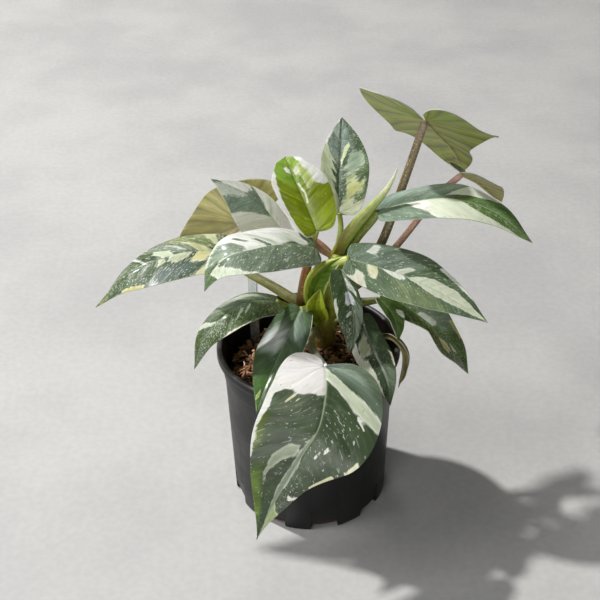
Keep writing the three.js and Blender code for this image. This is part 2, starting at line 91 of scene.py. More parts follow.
# %% The camera at the photograph's angle
LOOK_DOWN, ROLL = math.radians(34), math.radians(-1)
AWAY, ASIDE, RAISED = 1062, 9, 157
LENS = 72
ahead = np.array([0, math.cos(LOOK_DOWN), -math.sin(LOOK_DOWN)])
level = np.array([1.0, 0, 0])
above = np.cross(level, ahead)
right = level * math.cos(ROLL) + above * math.sin(ROLL)
upward = above * math.cos(ROLL) - level * math.sin(ROLL)
stand = -ahead * (AWAY * MM) - right * ASIDE * MM + upward * RAISED * MM

deselect()
bpy.ops.object.camera_add()
camera = bpy.context.object
camera.matrix_world = stand_at(right, upward, -ahead, stand)
camera.data.lens = LENS
camera.data.clip_end = 30
bpy.context.scene.camera = camera
print("camera stands", np.round(stand, 3), "m from the foot of the pot")

# %% [markdown]
# The floor is one pale plane. A real cast floor has a faint cloudiness, so its colour and its roughness
# follow a soft noise, and nothing more is drawn on it.
# To write materials in few lines, a small class adds nodes and links them. It could be done by hand in the
# shader editor: each call is one node.

# %% A helper that builds one material
class Finish:
    """One material. Each method adds a node and gives back its output."""

    def __init__(self, name):
        self.material = bpy.data.materials.new(name)
        self.material.use_nodes = True
        self.tree = self.material.node_tree
        self.shader = self.tree.nodes["Principled BSDF"]

    def put(self, kind, inputs=None, **settings):
        made = self.tree.nodes.new(kind)
        for key, value in settings.items():
            setattr(made, key, value)
        for key, value in (inputs or {}).items():
            self.join(value, made.inputs[key])
        return made

    def join(self, value, socket):
        if isinstance(value, bpy.types.NodeSocket):
            self.tree.links.new(value, socket)
        else:
            socket.default_value = value

    def sums(self, operation, a, b=0.0, clamp=False):
        return self.put("ShaderNodeMath", {0: a, 1: b}, operation=operation, use_clamp=clamp).outputs[0]

    def times(self, a, b, clamp=False):
        return self.sums("MULTIPLY", a, b, clamp)

    def plus(self, a, b):
        return self.sums("ADD", a, b)

    def step(self, value, low, high, start=0.0, end=1.0):
        made = self.put("ShaderNodeMapRange", {0: value, 1: low, 2: high, 3: start, 4: end},
                        interpolation_type="SMOOTHSTEP")
        return made.outputs[0]

    def noise(self, vector, scale=1.0, detail=2.0, roughness=0.5):
        made = self.put("ShaderNodeTexNoise", {"Scale": scale, "Detail": detail, "Roughness": roughness})
        self.join(vector, made.inputs["Vector"])
        return made.outputs[0]

    def point(self, x, y, z=0.0):
        return self.put("ShaderNodeCombineXYZ", {0: x, 1: y, 2: z}).outputs[0]

    def split(self, point):
        return self.put("ShaderNodeSeparateXYZ", {0: point}).outputs

    def place(self):
        return self.put("ShaderNodeTexCoord").outputs["Object"]

    def painted(self, name):
        """The colour and the alpha that are kept under a name on the piece's corners."""
        found = self.put("ShaderNodeAttribute", attribute_name=name).outputs
        return found["Color"], found["Alpha"]

    def chart(self, name):
        """The two numbers of the piece's own flat map."""
        return self.split(self.put("ShaderNodeUVMap", uv_map=name).outputs[0])[:2]

    def blend(self, share, a, b):
        made = self.put("ShaderNodeMix", data_type="RGBA")
        for socket, value in ((made.inputs[0], share), (made.inputs[6], a), (made.inputs[7], b)):
            self.join(value, socket)
        return made.outputs[2]

    def shade(self, colour, factor):
        """The colour made lighter or darker by a number that varies over the surface."""
        made = self.put("ShaderNodeVectorMath", {0: colour}, operation="SCALE")
        self.join(factor, made.inputs[3])
        return made.outputs[0]

    def raise_by(self, height, distance, strength=1.0):
        bump = self.put("ShaderNodeBump", {"Height": height, "Distance": distance, "Strength": strength})
        self.join(bump.outputs[0], self.shader.inputs["Normal"])

    def set(self, **sockets):
        for name, value in sockets.items():
            self.join(value, self.shader.inputs[name.replace("_", " ")])
        return self.material


def linear(screen_colour, alpha=1.0):
    """A screen colour such as #c9c8c6 as the amounts of light that Blender mixes."""
    parts = [int(screen_colour[i:i + 2], 16) / 255 for i in (1, 3, 5)]
    return tuple(c / 12.92 if c <= 0.04045 else ((c + 0.055) / 1.055) ** 2.4 for c in parts) + (alpha,)


print("the floor's colour in light:", np.round(linear("#c9c8c6"), 3))

# %% The floor
FLOOR_WIDTH, FLOOR_BACK = 12, 1.5
floor_finish = Finish("pale floor")
cloud = floor_finish.noise(floor_finish.place(), 5.0, 5.0, 0.6)
speck = floor_finish.noise(floor_finish.place(), 160.0, 2.0)
floor_tone = floor_finish.blend(floor_finish.step(cloud, 0.35, 0.65), linear("#bcbbb9"), linear("#c6c5c2"))
floor_tone = floor_finish.shade(floor_tone, floor_finish.step(speck, 0.3, 0.7, 0.97, 1.03))
floor_finish.raise_by(speck, 0.0004, 0.25)
floor_finish.set(Base_Color=floor_tone, Roughness=floor_finish.step(cloud, 0.3, 0.7, 0.55, 0.75))

deselect()
bpy.ops.mesh.primitive_plane_add(size=FLOOR_WIDTH, location=(0, FLOOR_BACK, 0))
bpy.ops.object.transform_apply(location=True)
floor = bpy.context.object
floor.name = "floor"
floor.data.materials.append(floor_finish.material)
floor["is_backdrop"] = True
print("floor covers", np.round(floor.dimensions, 1), "m")

# %% [markdown]
# In the photograph the light comes from the upper left and from behind: the pot's shadow falls to the right
# and towards us, about 107 mm long for a rim 148 mm high, which is a light 54 degrees above the floor.
# One small area light gives that shadow its edge. A window at the left lights the leaves that face us, a
# panel behind gives them their sheen, and a broad fill in front lights the hanging leaf. The sky is dim, so
# that the shadow stays nearly as dark as it is there.

# %% Light
CROWN = (0, 0, 0.15)
BODY = (0, 0, 0.2)
TOWARDS_KEY = np.array([-94, 52, 148.0])
KEY_AWAY = 3.6
SKY = 0.03


def lamp(name, place, size, watts, aim=CROWN):
    """A round area light at a place, turned towards its aim."""
    deselect()
    bpy.ops.object.light_add(type="AREA", location=place)
    made = bpy.context.object
    made.name = name
    made.data.shape = "DISK"
    made.data.size = size
    made.data.energy = watts
    back = np.array(place, float) - np.array(aim, float)
    back /= np.linalg.norm(back)
    side = np.cross([0, 0, 1.0], back)
    side /= np.linalg.norm(side)
    made.matrix_world = stand_at(side, np.cross(back, side), back, place)
    return made


TOWARDS_KEY /= np.linalg.norm(TOWARDS_KEY)
key = lamp("key light", tuple(TOWARDS_KEY * KEY_AWAY), 0.18, 118)
lamp("window", (-2.1, -0.6, 2.6), 1.8, 34)
lamp("back panel", (-0.6, 2.6, 3.5), 1.0, 13)
lamp("front fill", (-1.2, -3.2, 0.9), 2.6, 68, BODY)

world = bpy.data.worlds.new("even sky")
bpy.context.scene.world = world
world.use_nodes = True
world.node_tree.nodes["Background"].inputs[0].default_value = (0.96, 0.97, 1.0, 1)
world.node_tree.nodes["Background"].inputs[1].default_value = SKY
bpy.context.scene.view_settings.view_transform = "Standard"
print("key light stands at", np.round(key.location, 2))

# %% [markdown]
# Pieces are modelled in millimetres and written to the mesh in metres. A few helpers do what the hands would
# do in the viewport: read and move corners, weld corners that lie on each other, and add a modifier and
# apply it at once. Two more keep numbers on a piece for its finish: colours on its corners, and a flat map.

# %% Helpers for the mesh work
def corners(piece):
    flat = np.empty(len(piece.data.vertices) * 3)
    piece.data.vertices.foreach_get("co", flat)
    return flat.reshape(-1, 3)


def move_corners(piece, places):
    piece.data.vertices.foreach_set("co", (places * MM).ravel())
    piece.data.update()


def take(piece):
    deselect()
    piece.select_set(True)
    bpy.context.view_layer.objects.active = piece


def weld(piece, closed=True):
    take(piece)
    bpy.ops.object.mode_set(mode="EDIT")
    bpy.ops.mesh.select_all(action="SELECT")
    bpy.ops.mesh.remove_doubles(threshold=0.03 * MM)
    if closed:
        bpy.ops.mesh.normals_make_consistent(inside=False)
    bpy.ops.object.mode_set(mode="OBJECT")


def apply_modifier(piece, kind, **settings):
    take(piece)
    modifier = piece.modifiers.new(kind.title(), kind)
    for key, value in settings.items():
        setattr(modifier, key, value)
    bpy.ops.object.modifier_apply(modifier=modifier.name)


def finish_piece(piece, node, angle=60):
    """Smooths the piece, hangs it on its body and hides the solid that it stands for."""
    take(piece)
    bpy.ops.object.shade_smooth_by_angle(angle=math.radians(angle))
    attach(piece, "root")
    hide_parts(node)
    faces = len(piece.data.polygons)
    print(piece.name, "has", faces, "faces and measures", np.round(np.array(piece.dimensions) / MM, 1), "mm")


def paint(piece, name, values):
    """Keeps a colour with alpha for each corner, for the material to read."""
    layer = piece.data.attributes.new(name, "FLOAT_COLOR", "POINT")
    layer.data.foreach_set("color", np.ascontiguousarray(values, np.float32).ravel())


def lay_map(piece, name, first, second):
    """Names the piece's flat map and fills it with two numbers for each corner."""
    chart = piece.data.uv_layers[0]
    chart.name = name
    owner = np.empty(len(piece.data.loops), int)
    piece.data.loops.foreach_get("vertex_index", owner)
    chart.data.foreach_set("uv", np.c_[first[owner], second[owner]].ravel())


print("one unit in Blender is", 1 / MM, "mm")

# %% [markdown]
# Every leaf and every stalk follows a line through a few points, the midrib or the middle of the stalk.
# A line class finds a place and a direction at any share of that line's length. The same points made the
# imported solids, so the dressed leaf lies where its solid lies.

# %% A smooth line through points
def unit(vectors):
    return vectors / np.linalg.norm(vectors, axis=-1, keepdims=True)


class Line:
    """A smooth line through points. Its places and directions are asked for by shares of its length."""

    STEPS = 96
    LOOK = 0.12

    def __init__(self, points):
        p = np.array(points, float)
        self.count = len(p) - 1
        self.padded = np.vstack([2 * p[0] - p[1], p, 2 * p[-1] - p[-2]])
        walk = self.point(np.linspace(0, 1, self.STEPS + 1))
        self.run = np.r_[0, np.cumsum(np.linalg.norm(np.diff(walk, axis=0), axis=1))]
        self.length = self.run[-1]

    def point(self, t):
        x = np.clip(t, 0, 1) * self.count
        i = np.minimum(np.floor(x).astype(int), self.count - 1)
        f = (x - i)[..., None]
        a, b, c, d = (self.padded[np.minimum(i + k, self.count + 2)] for k in range(4))
        cubic = 3 * b - a - 3 * c + d
        return 0.5 * (2 * b + (c - a) * f + (2 * a - 5 * b + 4 * c - d) * f ** 2 + cubic * f ** 3)

    def share(self, s):
        return np.interp(np.asarray(s) * self.length, self.run, np.arange(self.STEPS + 1) / self.STEPS)

    def direction(self, s):
        start = np.clip(np.asarray(s, float) - self.LOOK / 2, 0, 1 - self.LOOK)
        return unit(self.point(self.share(start + self.LOOK)) - self.point(self.share(start)))

    def place(self, s):
        """The point at a share of the length. Below nought it lies straight back from the start."""
        s = np.asarray(s, float)
        beyond = np.minimum(s, 0)[..., None] * self.length * self.direction(np.zeros_like(s))
        return self.point(self.share(np.clip(s, 0, 1))) + beyond


print("a line through two points 30 mm apart is", Line([[0, 0, 0], [0, 0, 30]]).length, "mm long")

# %% [markdown]
# The pot is injection-moulded polypropylene: a thin wall, a flared collar above a moulded line, a rolled
# rim, and nine slots round its foot below shallow panels. It could be lathed from a drawn profile.
# Here a ring is extruded and scaled from height to height, which is the same thing done by hand, and the
# slots and panels are cut by boxes with a Boolean.

# %% A turned form
def turned(name, profile, segments):
    """Profile: radius and height of each ring, in order from the middle of the underside."""
    deselect()
    radius, height = profile[0]
    bpy.ops.mesh.primitive_circle_add(vertices=segments, radius=radius * MM, fill_type="NGON",
                                      location=(0, 0, height * MM))
    piece = bpy.context.object
    piece.name = piece.data.name = name
    bpy.ops.object.transform_apply(location=True)
    bpy.ops.object.mode_set(mode="EDIT")
    bpy.ops.mesh.select_mode(type="EDGE")
    bpy.ops.mesh.select_all(action="DESELECT")
    bpy.ops.mesh.select_non_manifold()
    for wide, high in profile[1:]:
        bpy.ops.mesh.extrude_region_move(TRANSFORM_OT_translate={"value": (0, 0, (high - height) * MM)})
        scale = wide / radius
        bpy.ops.transform.resize(value=(scale, scale, 1), center_override=(0, 0, high * MM))
        radius, height = wide, high
    bpy.ops.mesh.edge_face_add()
    bpy.ops.mesh.select_all(action="SELECT")
    bpy.ops.mesh.normals_make_consistent(inside=False)
    bpy.ops.mesh.select_mode(type="VERT")
    bpy.ops.object.mode_set(mode="OBJECT")
    return piece


print("a turned form starts from its lowest, innermost ring")

# %% The pot's wall and floor
POT_HEIGHT, RIM_RADIUS, BASE_RADIUS = 148, 75, 65
LINE_HEIGHT, COLLAR_TOP = 123, 140
pot = turned("potted_pot", [
    (30, 1.4), (58, 1.4), (60, 0), (62.6, 0), (64.4, 0.7), (BASE_RADIUS, 2.2),
    (69.2, 122.4), (69.5, LINE_HEIGHT), (69.95, 123.7), (70.1, 124.6), (71.2, 132), (72.2, 139.6),
    (73.6, COLLAR_TOP), (74.5, 140.7), (RIM_RADIUS, 142), (RIM_RADIUS, 145.6), (74.6, 147.2),
    (73.6, POT_HEIGHT), (71.6, POT_HEIGHT), (70.7, 147.4), (70.3, 146.4), (70.4, COLLAR_TOP), (69.0, 132),
    (67.7, LINE_HEIGHT), (63.4, 4.2), (62.4, 3), (20, 3),
], 144)
print("pot ring corners:", len(pot.data.vertices))

# %% Cut the slots and the panels
SLOTS = 9
FIRST_SLOT = 280


def boxes_round(name, size, reach, middle):
    """Equal boxes round the foot, joined into one cutter."""
    made = []
    for k in range(SLOTS):
        angle = math.radians(FIRST_SLOT + 360 // SLOTS * k)
        deselect()
        place = (reach * MM * math.cos(angle), reach * MM * math.sin(angle), middle * MM)
        bpy.ops.mesh.primitive_cube_add(size=1, location=place, rotation=(0, 0, angle))
        box = bpy.context.object
        box.scale = [side * MM for side in size]
        bpy.ops.object.transform_apply(location=True, rotation=True, scale=True)
        made.append(box)
    deselect()
    for box in made:
        box.select_set(True)
    bpy.context.view_layer.objects.active = made[0]
    bpy.ops.object.join()
    cutter = bpy.context.object
    cutter.name = name
    return cutter


panels = boxes_round("panel_cutter", (10, 23, 24), BASE_RADIUS + 4.1, 10)
slots = boxes_round("slot_cutter", (14, 23, 11), BASE_RADIUS, 3.5)
for cutter in (panels, slots):
    apply_modifier(pot, "BOOLEAN", operation="DIFFERENCE", object=cutter, solver="EXACT")
    bpy.data.objects.remove(cutter)
apply_modifier(pot, "BEVEL", width=0.35 * MM, segments=2, limit_method="ANGLE", angle_limit=math.radians(40))
print("pot faces after cutting:", len(pot.data.polygons))

# %% The pot's finish
pot_finish = Finish("satin black plastic")
grain = pot_finish.noise(pot_finish.place(), 900.0, 2.0)
dust = pot_finish.noise(pot_finish.place(), 28.0, 5.0, 0.6)
height = pot_finish.split(pot_finish.place())[2]
low = pot_finish.step(height, 0.03, 0.0)
dusty = pot_finish.times(pot_finish.step(dust, 0.45, 0.75), pot_finish.plus(low, 0.35), clamp=True)
pot_tone = pot_finish.blend(pot_finish.times(dusty, 0.35), linear("#0c0c0d"), linear("#2c2926"))
# The top of the lip is painted a lighter grey in patches: a painted highlight along the rim's top edge.
lip = pot_finish.step(height, 145.5 * MM, 147.5 * MM)
painted_lip_highlight = pot_finish.times(lip, pot_finish.step(dust, 0.2, 0.6, 0.5, 0.9))
pot_tone = pot_finish.blend(painted_lip_highlight, pot_tone, linear("#4c4b49"))
pot_finish.raise_by(grain, 0.00008, 0.35)
pot_finish.set(Base_Color=pot_tone, Roughness=pot_finish.step(dust, 0.35, 0.7, 0.38, 0.5),
               Specular_IOR_Level=0.35)
pot.data.materials.append(pot_finish.material)
finish_piece(pot, "pot", 35)

# %% [markdown]
# The pot is filled with bark and coco chips. The bed below is a turned block with an uneven top. The chips
# are four kinds, each modelled once from a primitive with few faces, then copied a few hundred times with
# its own size, turn and shade of brown. Particles could scatter them, but copies are real mesh that any
# export keeps.

# %% The bed of soil
SOIL_TOP = 121
soil_bed = turned("potted_soil", [
    (30, 3.5), (62, 3.5), (62.8, 4.5), (66.9, SOIL_TOP - 3), (66, SOIL_TOP - 1), (58, SOIL_TOP + 0.6),
    (48, SOIL_TOP), (38, SOIL_TOP + 1), (28, SOIL_TOP + 0.4), (18, SOIL_TOP + 1), (9, SOIL_TOP + 0.5),
], 72)
rng = np.random.default_rng(4177)
places = corners(soil_bed) / MM
top_ring = places[:, 2] > SOIL_TOP - 2
places[top_ring, 2] += rng.uniform(-1.6, 1.2, top_ring.sum())
move_corners(soil_bed, places)
print("soil bed reaches", round(places[:, 2].max(), 1), "mm")

# %% Four kinds of chip
def chip(name, kind, squash):
    """A primitive one unit across, squashed and roughened, to be copied at its size in mm."""
    deselect()
    if kind == "chunk":
        bpy.ops.mesh.primitive_cube_add(size=1)
    elif kind == "crumb":
        bpy.ops.mesh.primitive_ico_sphere_add(subdivisions=1, radius=0.5)
    else:
        bpy.ops.mesh.primitive_cylinder_add(vertices=5, radius=0.5, depth=1)
    piece = bpy.context.object
    piece.name = name
    if kind != "crumb":
        bpy.ops.object.mode_set(mode="EDIT")
        bpy.ops.mesh.subdivide(number_cuts=1 if kind == "chunk" else 2)
        bpy.ops.object.mode_set(mode="OBJECT")
    shape = corners(piece)
    bend = np.c_[1.6 * shape[:, 2] ** 2, np.zeros((len(shape), 2))] if kind == "strand" else 0
    rough = rng.normal(0, 0.07, shape.shape)
    piece.data.vertices.foreach_set("co", ((shape + bend + rough) * squash).ravel())
    return piece


STRAND_LENGTH = 8.0
kinds = [
    (chip("bark", "chunk", (1.0, 0.5, 0.3)), 6.0),
    (chip("husk", "chunk", (1.0, 0.6, 0.22)), 5.0),
    (chip("crumb", "crumb", (1.0, 0.8, 0.7)), 3.0),
    (chip("curl", "strand", (0.22, 0.16, 1.0)), STRAND_LENGTH),
]
print("faces in each kind:", [len(kind.data.polygons) for kind, size in kinds])

# %% Scatter the chips
CHIPS = 1100
SHARES = [0.26, 0.22, 0.2, 0.32]
BED_RADIUS = 64
MOUND_HEIGHT, MOUND_RADIUS = 5, 30
# These browns, and the random lift of each chip's brown below, are lighter than the chips' own: painted light
# where the leaves shade the soil.
BROWNS = [linear(c) for c in ("#a87a54", "#8a5f40", "#c2946a", "#5f4130", "#cfa67e", "#74503a", "#ddb892")]


def tumbled(a, b, c):
    """A turn by b about Y, then a about X, then c about Z."""
    about_z = np.array([[math.cos(c), -math.sin(c), 0], [math.sin(c), math.cos(c), 0], [0, 0, 1]])
    about_x = np.array([[1, 0, 0], [0, math.cos(a), -math.sin(a)], [0, math.sin(a), math.cos(a)]])
    about_y = np.array([[math.cos(b), 0, math.sin(b)], [0, 1, 0], [-math.sin(b), 0, math.cos(b)]])
    return about_z @ about_x @ about_y


copies = []
for k in range(CHIPS):
    kind, size = kinds[rng.choice(len(kinds), p=SHARES)]
    reach = BED_RADIUS * math.sqrt(rng.uniform(0.0, 1))
    around = rng.uniform(0, 2 * math.pi)
    shape = corners(kind) * (size * rng.uniform(0.6, 1.35))
    a, b, c = rng.uniform(-0.6, 0.6), rng.uniform(-0.6, 0.6), rng.uniform(0, 2 * math.pi)
    lying = a + math.pi / 2 if size == STRAND_LENGTH else a
    mound = MOUND_HEIGHT * math.exp(-(reach / MOUND_RADIUS) ** 2)
    middle = [reach * math.cos(around), reach * math.sin(around), SOIL_TOP + rng.uniform(-1.0, 3.2) + mound]
    one = bpy.data.objects.new("chip", kind.data.copy())
    bpy.context.scene.collection.objects.link(one)
    move_corners(one, shape @ tumbled(lying, b, c).T + middle)
    tone = np.array(BROWNS[rng.integers(len(BROWNS))]) * rng.uniform(0.95, 1.5)
    paint(one, "tone", np.tile(tone, (len(shape), 1)))
    copies.append(one)
for kind, size in kinds:
    bpy.data.objects.remove(kind)
paint(soil_bed, "tone", np.tile(linear("#2b1c13"), (len(soil_bed.data.vertices), 1)))
deselect()
for one in copies + [soil_bed]:
    one.select_set(True)
bpy.context.view_layer.objects.active = soil_bed
bpy.ops.object.join()
print("soil faces:", len(soil_bed.data.polygons))

# %% The soil's finish
soil_finish = Finish("bark and coco mix")
tone = soil_finish.painted("tone")[0]
fibre_noise = soil_finish.noise(soil_finish.place(), 700.0, 3.0, 0.7)
patch_noise = soil_finish.noise(soil_finish.place(), 150.0, 2.0)
soil_tone = soil_finish.shade(tone, soil_finish.step(fibre_noise, 0.3, 0.75, 0.55, 1.35))
soil_tone = soil_finish.shade(soil_tone, soil_finish.step(patch_noise, 0.3, 0.7, 0.75, 1.2))
soil_finish.raise_by(fibre_noise, 0.0006, 0.8)
soil_finish.set(Base_Color=soil_tone, Roughness=0.9)
soil_bed.data.materials.append(soil_finish.material)
finish_piece(soil_bed, "soil", 40)

# %% [markdown]
# The stake is a length of clear angle, like a plant label's support: two thin walls that meet in an edge.
# Its solid has that shape already, so we model the same angle again and round its edges slightly. The walls
# are clear and thin, so what we see of them is mostly their edges and a faint haze.

# %% The clear stake
STAKE_WALL = 1.2
stake_low, stake_high = (np.array(c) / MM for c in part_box("support_stake"))
deselect()
bpy.ops.mesh.primitive_cube_add(size=1)
stake = bpy.context.object
stake.name = stake.data.name = "potted_stake"
span = stake_high - stake_low
front = np.array([span[0], STAKE_WALL, span[2]])
move_corners(stake, (corners(stake) + 0.5) * front + stake_low)
bpy.ops.object.mode_set(mode="EDIT")
bpy.ops.mesh.select_all(action="SELECT")
bpy.ops.mesh.bisect(plane_co=((stake_high[0] - STAKE_WALL) * MM, 0, 0), plane_no=(1, 0, 0))
bpy.ops.mesh.select_all(action="DESELECT")
bpy.ops.object.mode_set(mode="OBJECT")
for face in stake.data.polygons:
    face.select = face.normal.y > 0.9 and face.center.x > (stake_high[0] - STAKE_WALL) * MM
for corner in stake.data.vertices:
    corner.select = False
bpy.ops.object.mode_set(mode="EDIT")
bpy.ops.mesh.select_mode(type="FACE")
bpy.ops.mesh.extrude_region_move(TRANSFORM_OT_translate={"value": (0, (span[1] - STAKE_WALL) * MM, 0)})
bpy.ops.mesh.select_mode(type="VERT")
bpy.ops.object.mode_set(mode="OBJECT")
apply_modifier(stake, "BEVEL", width=0.3 * MM, segments=2, limit_method="ANGLE")

stake_finish = Finish("clear stake plastic")
haze = stake_finish.noise(stake_finish.place(), 60.0, 3.0)
stake_finish.set(Base_Color=linear("#e4ebe9"), Transmission_Weight=0.93, IOR=1.42,
                 Roughness=stake_finish.step(haze, 0.3, 0.7, 0.0, 0.06))
stake.data.materials.append(stake_finish.material)
finish_piece(stake, "support_stake", 30)

# %% [markdown]
# Now the leaves. A leaf could be sculpted, but the same formula that made its solid gives a finer sheet in
# the same place. The sheet is a grid primitive whose two directions are leaf directions: `along` runs round
# the outline from the back of the lobe (0) to the tip (1), and `across` runs from the midrib (0) to the
# margin (1 on the right half, -1 on the left). Lines of one `along` value are side veins, so everything that
# follows the veins, form or colour, is easy to say in these two numbers.
# Each half has its own numbers: its width in mm, where it is widest and how far its lobe reaches back (shares
# of the midrib), how sharp its tip is, and its fold in degrees at the base and at the tip. Some have bays,
# where the margin draws in or out: a place along it, a spread and a depth.

# %% The outline of half a leaf
ROUND_UNTIL, LOBE_WIDTH = 0.42, 0.42
LOBE_TURN, WHOLE_TURN = -60, 150
Half = namedtuple("Half", "width widest lobe tip fold fold_at_tip bays", defaults=[()])


def outline(along, half):
    """How far along the midrib and how far out the margin lies, both as shares."""
    turn = np.radians(LOBE_TURN + WHOLE_TURN * np.clip(along / ROUND_UNTIL, 0, 1))
    lobe_side = turn < 0
    ahead_of_lobe = half.widest - (half.widest + half.lobe) * np.cos(turn)
    forward = np.where(lobe_side, -half.lobe * np.cos(turn), ahead_of_lobe)
    out = np.where(lobe_side, LOBE_WIDTH * (1 + np.sin(turn)), LOBE_WIDTH + (1 - LOBE_WIDTH) * np.sin(turn))
    t = (along - ROUND_UNTIL) / (1 - ROUND_UNTIL)
    late = along > ROUND_UNTIL
    forward = np.where(late, half.widest + (1 - half.widest) * t, forward)
    out = np.where(late, (1 - t * t) * (1 - half.tip * t * t), out)
    for place, spread, amount in half.bays:
        out = out * (1 + amount * np.exp(-((along - place) / spread) ** 2))
    return forward, out


def vein_root(along, leaf):
    """Where on the midrib the side vein to that place of the outline starts."""
    total = 0
    for half in (leaf["right"], leaf["left"]):
        forward, out = outline(along, half)
        total = total + np.maximum(0, forward - leaf["sweep"] * out) / 2
    return total


wide_half = Half(20, 0.4, 0.05, 0.3, 0, 0)
print("a half leaf 20 mm wide is", round(20 * float(outline(0.2, wide_half)[1]), 1), "mm wide at 0.2")

# %% Low forms on the upper face
VEINS = 11
PANEL, PANEL_PER_WIDTH = 0.16, 0.006
GROOVE, GROOVE_WIDTH = 0.55, 1.3
EDGE_WAVE, EDGE_WAVES = 0.25, 3.7


def relief(along, v, from_rib, leaf, width):
    """Panels between the side veins, the groove of the midrib and a slight wave of the margin, in mm."""
    panel = np.abs(np.sin(np.pi * VEINS * along + 0.1 * np.sin(9 * v))) ** 0.7 - 0.6
    panel = panel * np.clip(v * 5, 0, 1) * np.clip((1 - v) * 4, 0, 1) * np.clip(along * 5, 0, 1)
    groove = -GROOVE * np.exp(-(from_rib / GROOVE_WIDTH) ** 2) * np.clip((1 - along) * 6, 0, 1)
    edge = EDGE_WAVE * np.sin(2 * np.pi * (EDGE_WAVES * along + 0.3)) * v ** 4
    return leaf["relief"] * (PANEL + PANEL_PER_WIDTH * width) * panel + groove + edge


print("raised panels between", VEINS, "side veins on each half")

# %% The surface of a leaf
VEIN_BEND = 1.2
LEFT_PHASE = 1.9


def blade(leaf, along, across):
    """Points of the blade's middle surface in millimetres, and each point's distance from the midrib."""
    line = Line(leaf["rib"])
    places = np.zeros(along.shape + (3,))
    from_rib = np.zeros(along.shape)
    high, ripples = leaf["wave"]
    for side, half in ((1, leaf["right"]), (-1, leaf["left"])):
        v = np.abs(across)
        forward, out = outline(along, half)
        s = vein_root(along, leaf) * (1 - v ** VEIN_BEND) + forward * v ** VEIN_BEND
        o = out * v * half.width
        held = np.clip(s, 0, 1)
        T = line.direction(held)
        up = np.array(leaf["up"], float)
        up = up + (np.array(leaf["up_tip"] or leaf["up"], float) - up) * held[..., None]
        N = unit(up - T * (up * T).sum(-1, keepdims=True))
        S = np.cross(T, N) * side
        fold = np.radians(half.fold + (half.fold_at_tip - half.fold) * held)
        phase = 0 if side > 0 else LEFT_PHASE
        rise = o * np.sin(fold) - leaf["curl"] * half.width * (out * v) ** 2
        rise = rise + high * np.sin(2 * np.pi * ripples * along + phase) * v * v * out
        rise = rise + relief(along, v, o, leaf, half.width)
        here = line.place(s) + S * (o * np.cos(fold))[..., None] + N * rise[..., None]
        mine = (across >= 0) if side > 0 else (across < 0)
        places[mine] = here[mine]
        from_rib[mine] = o[mine]
    return places, from_rib


print("veins leave the midrib straight and bend by a power of", VEIN_BEND)

# %% [markdown]
# The white of this plant comes in sectors that start at the midrib and run out along the veins, with ragged
# ends, and in flecks. It could be painted by hand as a picture, but here each sector is a patch with a few
# corners in leaf coordinates. A patch raises or lowers one number, `pale`, near its edge, and the material
# cuts that soft number into a ragged edge with noise that is stretched along the veins.

# %% Tones, and how a patch is said
PINKISH, WHITE, MINT, GREYMINT = "#f6f0e6", "#eff0e4", "#cfd7c1", "#b2bdac"
CREAM, YELLOW, LIME, TAN = "#e2e0b4", "#cfcd86", "#98ac42", "#968a58"
GREEN, DARK, GREY = "#57694a", "#46563a", "#66755f"
RIGHT, LEFT = 1, -1


def pale(side, tone, *shape, soft=6.0):
    return ("pale", side, linear(tone), shape, soft)


def green(side, tone, *shape, soft=6.0):
    return ("green", side, linear(tone), shape, soft)


def flecked(side, amount, *shape, soft=8.0):
    return ("flecked", side, amount, shape, soft)


def band(start, end, inner, outer):
    """The corners of a patch between two side veins, from one share of the way out to another."""
    return [(start, inner), (start, outer), (end, outer), (end, inner)]


print("a patch from the midrib to the margin:", pale(RIGHT, WHITE, *band(0.4, 0.6, 0, 1))[3])

# %% What a patch does to the corners of the sheet
REACH = 1.2


def inside_by(x, y, shape):
    """How far each point lies inside a patch, in millimetres, below nought outside."""
    inside = np.zeros(x.shape, bool)
    nearest = np.full(x.shape, 1e9)
    for k in range(len(shape)):
        (x0, y0), (x1, y1) = shape[k - 1], shape[k]
        dx, dy = x1 - x0, y1 - y0
        t = np.clip(((x - x0) * dx + (y - y0) * dy) / max(dx * dx + dy * dy, 1e-9), 0, 1)
        nearest = np.minimum(nearest, np.hypot(x - x0 - t * dx, y - y0 - t * dy))
        if y0 != y1:
            crosses = ((y0 > y) != (y1 > y)) & (x < x0 + (y - y0) * dx / dy)
            inside ^= crosses
    return np.where(inside, nearest, -nearest)


def markings(leaf, along, across):
    """The leaf's pale number, flecks and two tones at each corner."""
    count = len(along)
    amount = np.zeros(count)
    flecks = np.full(count, leaf["flecks"])
    green_tone = np.tile(linear(leaf["green"]), (count, 1))
    pale_tone = np.tile(linear(leaf["pale"]), (count, 1))
    reach = Line(leaf["rib"]).length * REACH
    for kind, side, value, shape, soft in leaf["marks"]:
        width = leaf["right" if side == RIGHT else "left"].width
        mine = across >= 0 if side == RIGHT else across < 0
        flat = [(a * reach, b * width) for a, b in shape]
        by = inside_by(along * reach, np.abs(across) * width, flat)
        share = np.where(mine, np.clip(0.5 + by / (2 * soft), 0, 1), 0)
        over = (share * share * (3 - 2 * share))[:, None]
        if kind == "pale":
            amount = np.maximum(amount, share)
            pale_tone = pale_tone * (1 - over) + np.array(value) * over
        elif kind == "green":
            amount = np.minimum(amount, 1 - share)
            green_tone = green_tone * (1 - over) + np.array(value) * over
        else:
            flecks = flecks * (1 - over[:, 0]) + value * over[:, 0]
    return amount, flecks, green_tone, pale_tone


middle = inside_by(np.array([5.0]), np.array([5.0]), [(0, 0), (0, 10), (10, 10), (10, 0)])
print("the middle of a 10 mm square lies inside it by", middle[0], "mm")

# %% [markdown]
# One finish serves the upper face of every leaf. It reads the painted numbers: `mask` holds pale, flecks,
# nearness to the midrib and the leaf's own number, and two more hold the green and the pale tone of that
# place. The green's alpha says how pale the midrib is. Noise for these leaves is always drawn out along the
# side veins, as real streaks are, and the leaf's own number moves it, so that no two leaves carry the same
# flecks.

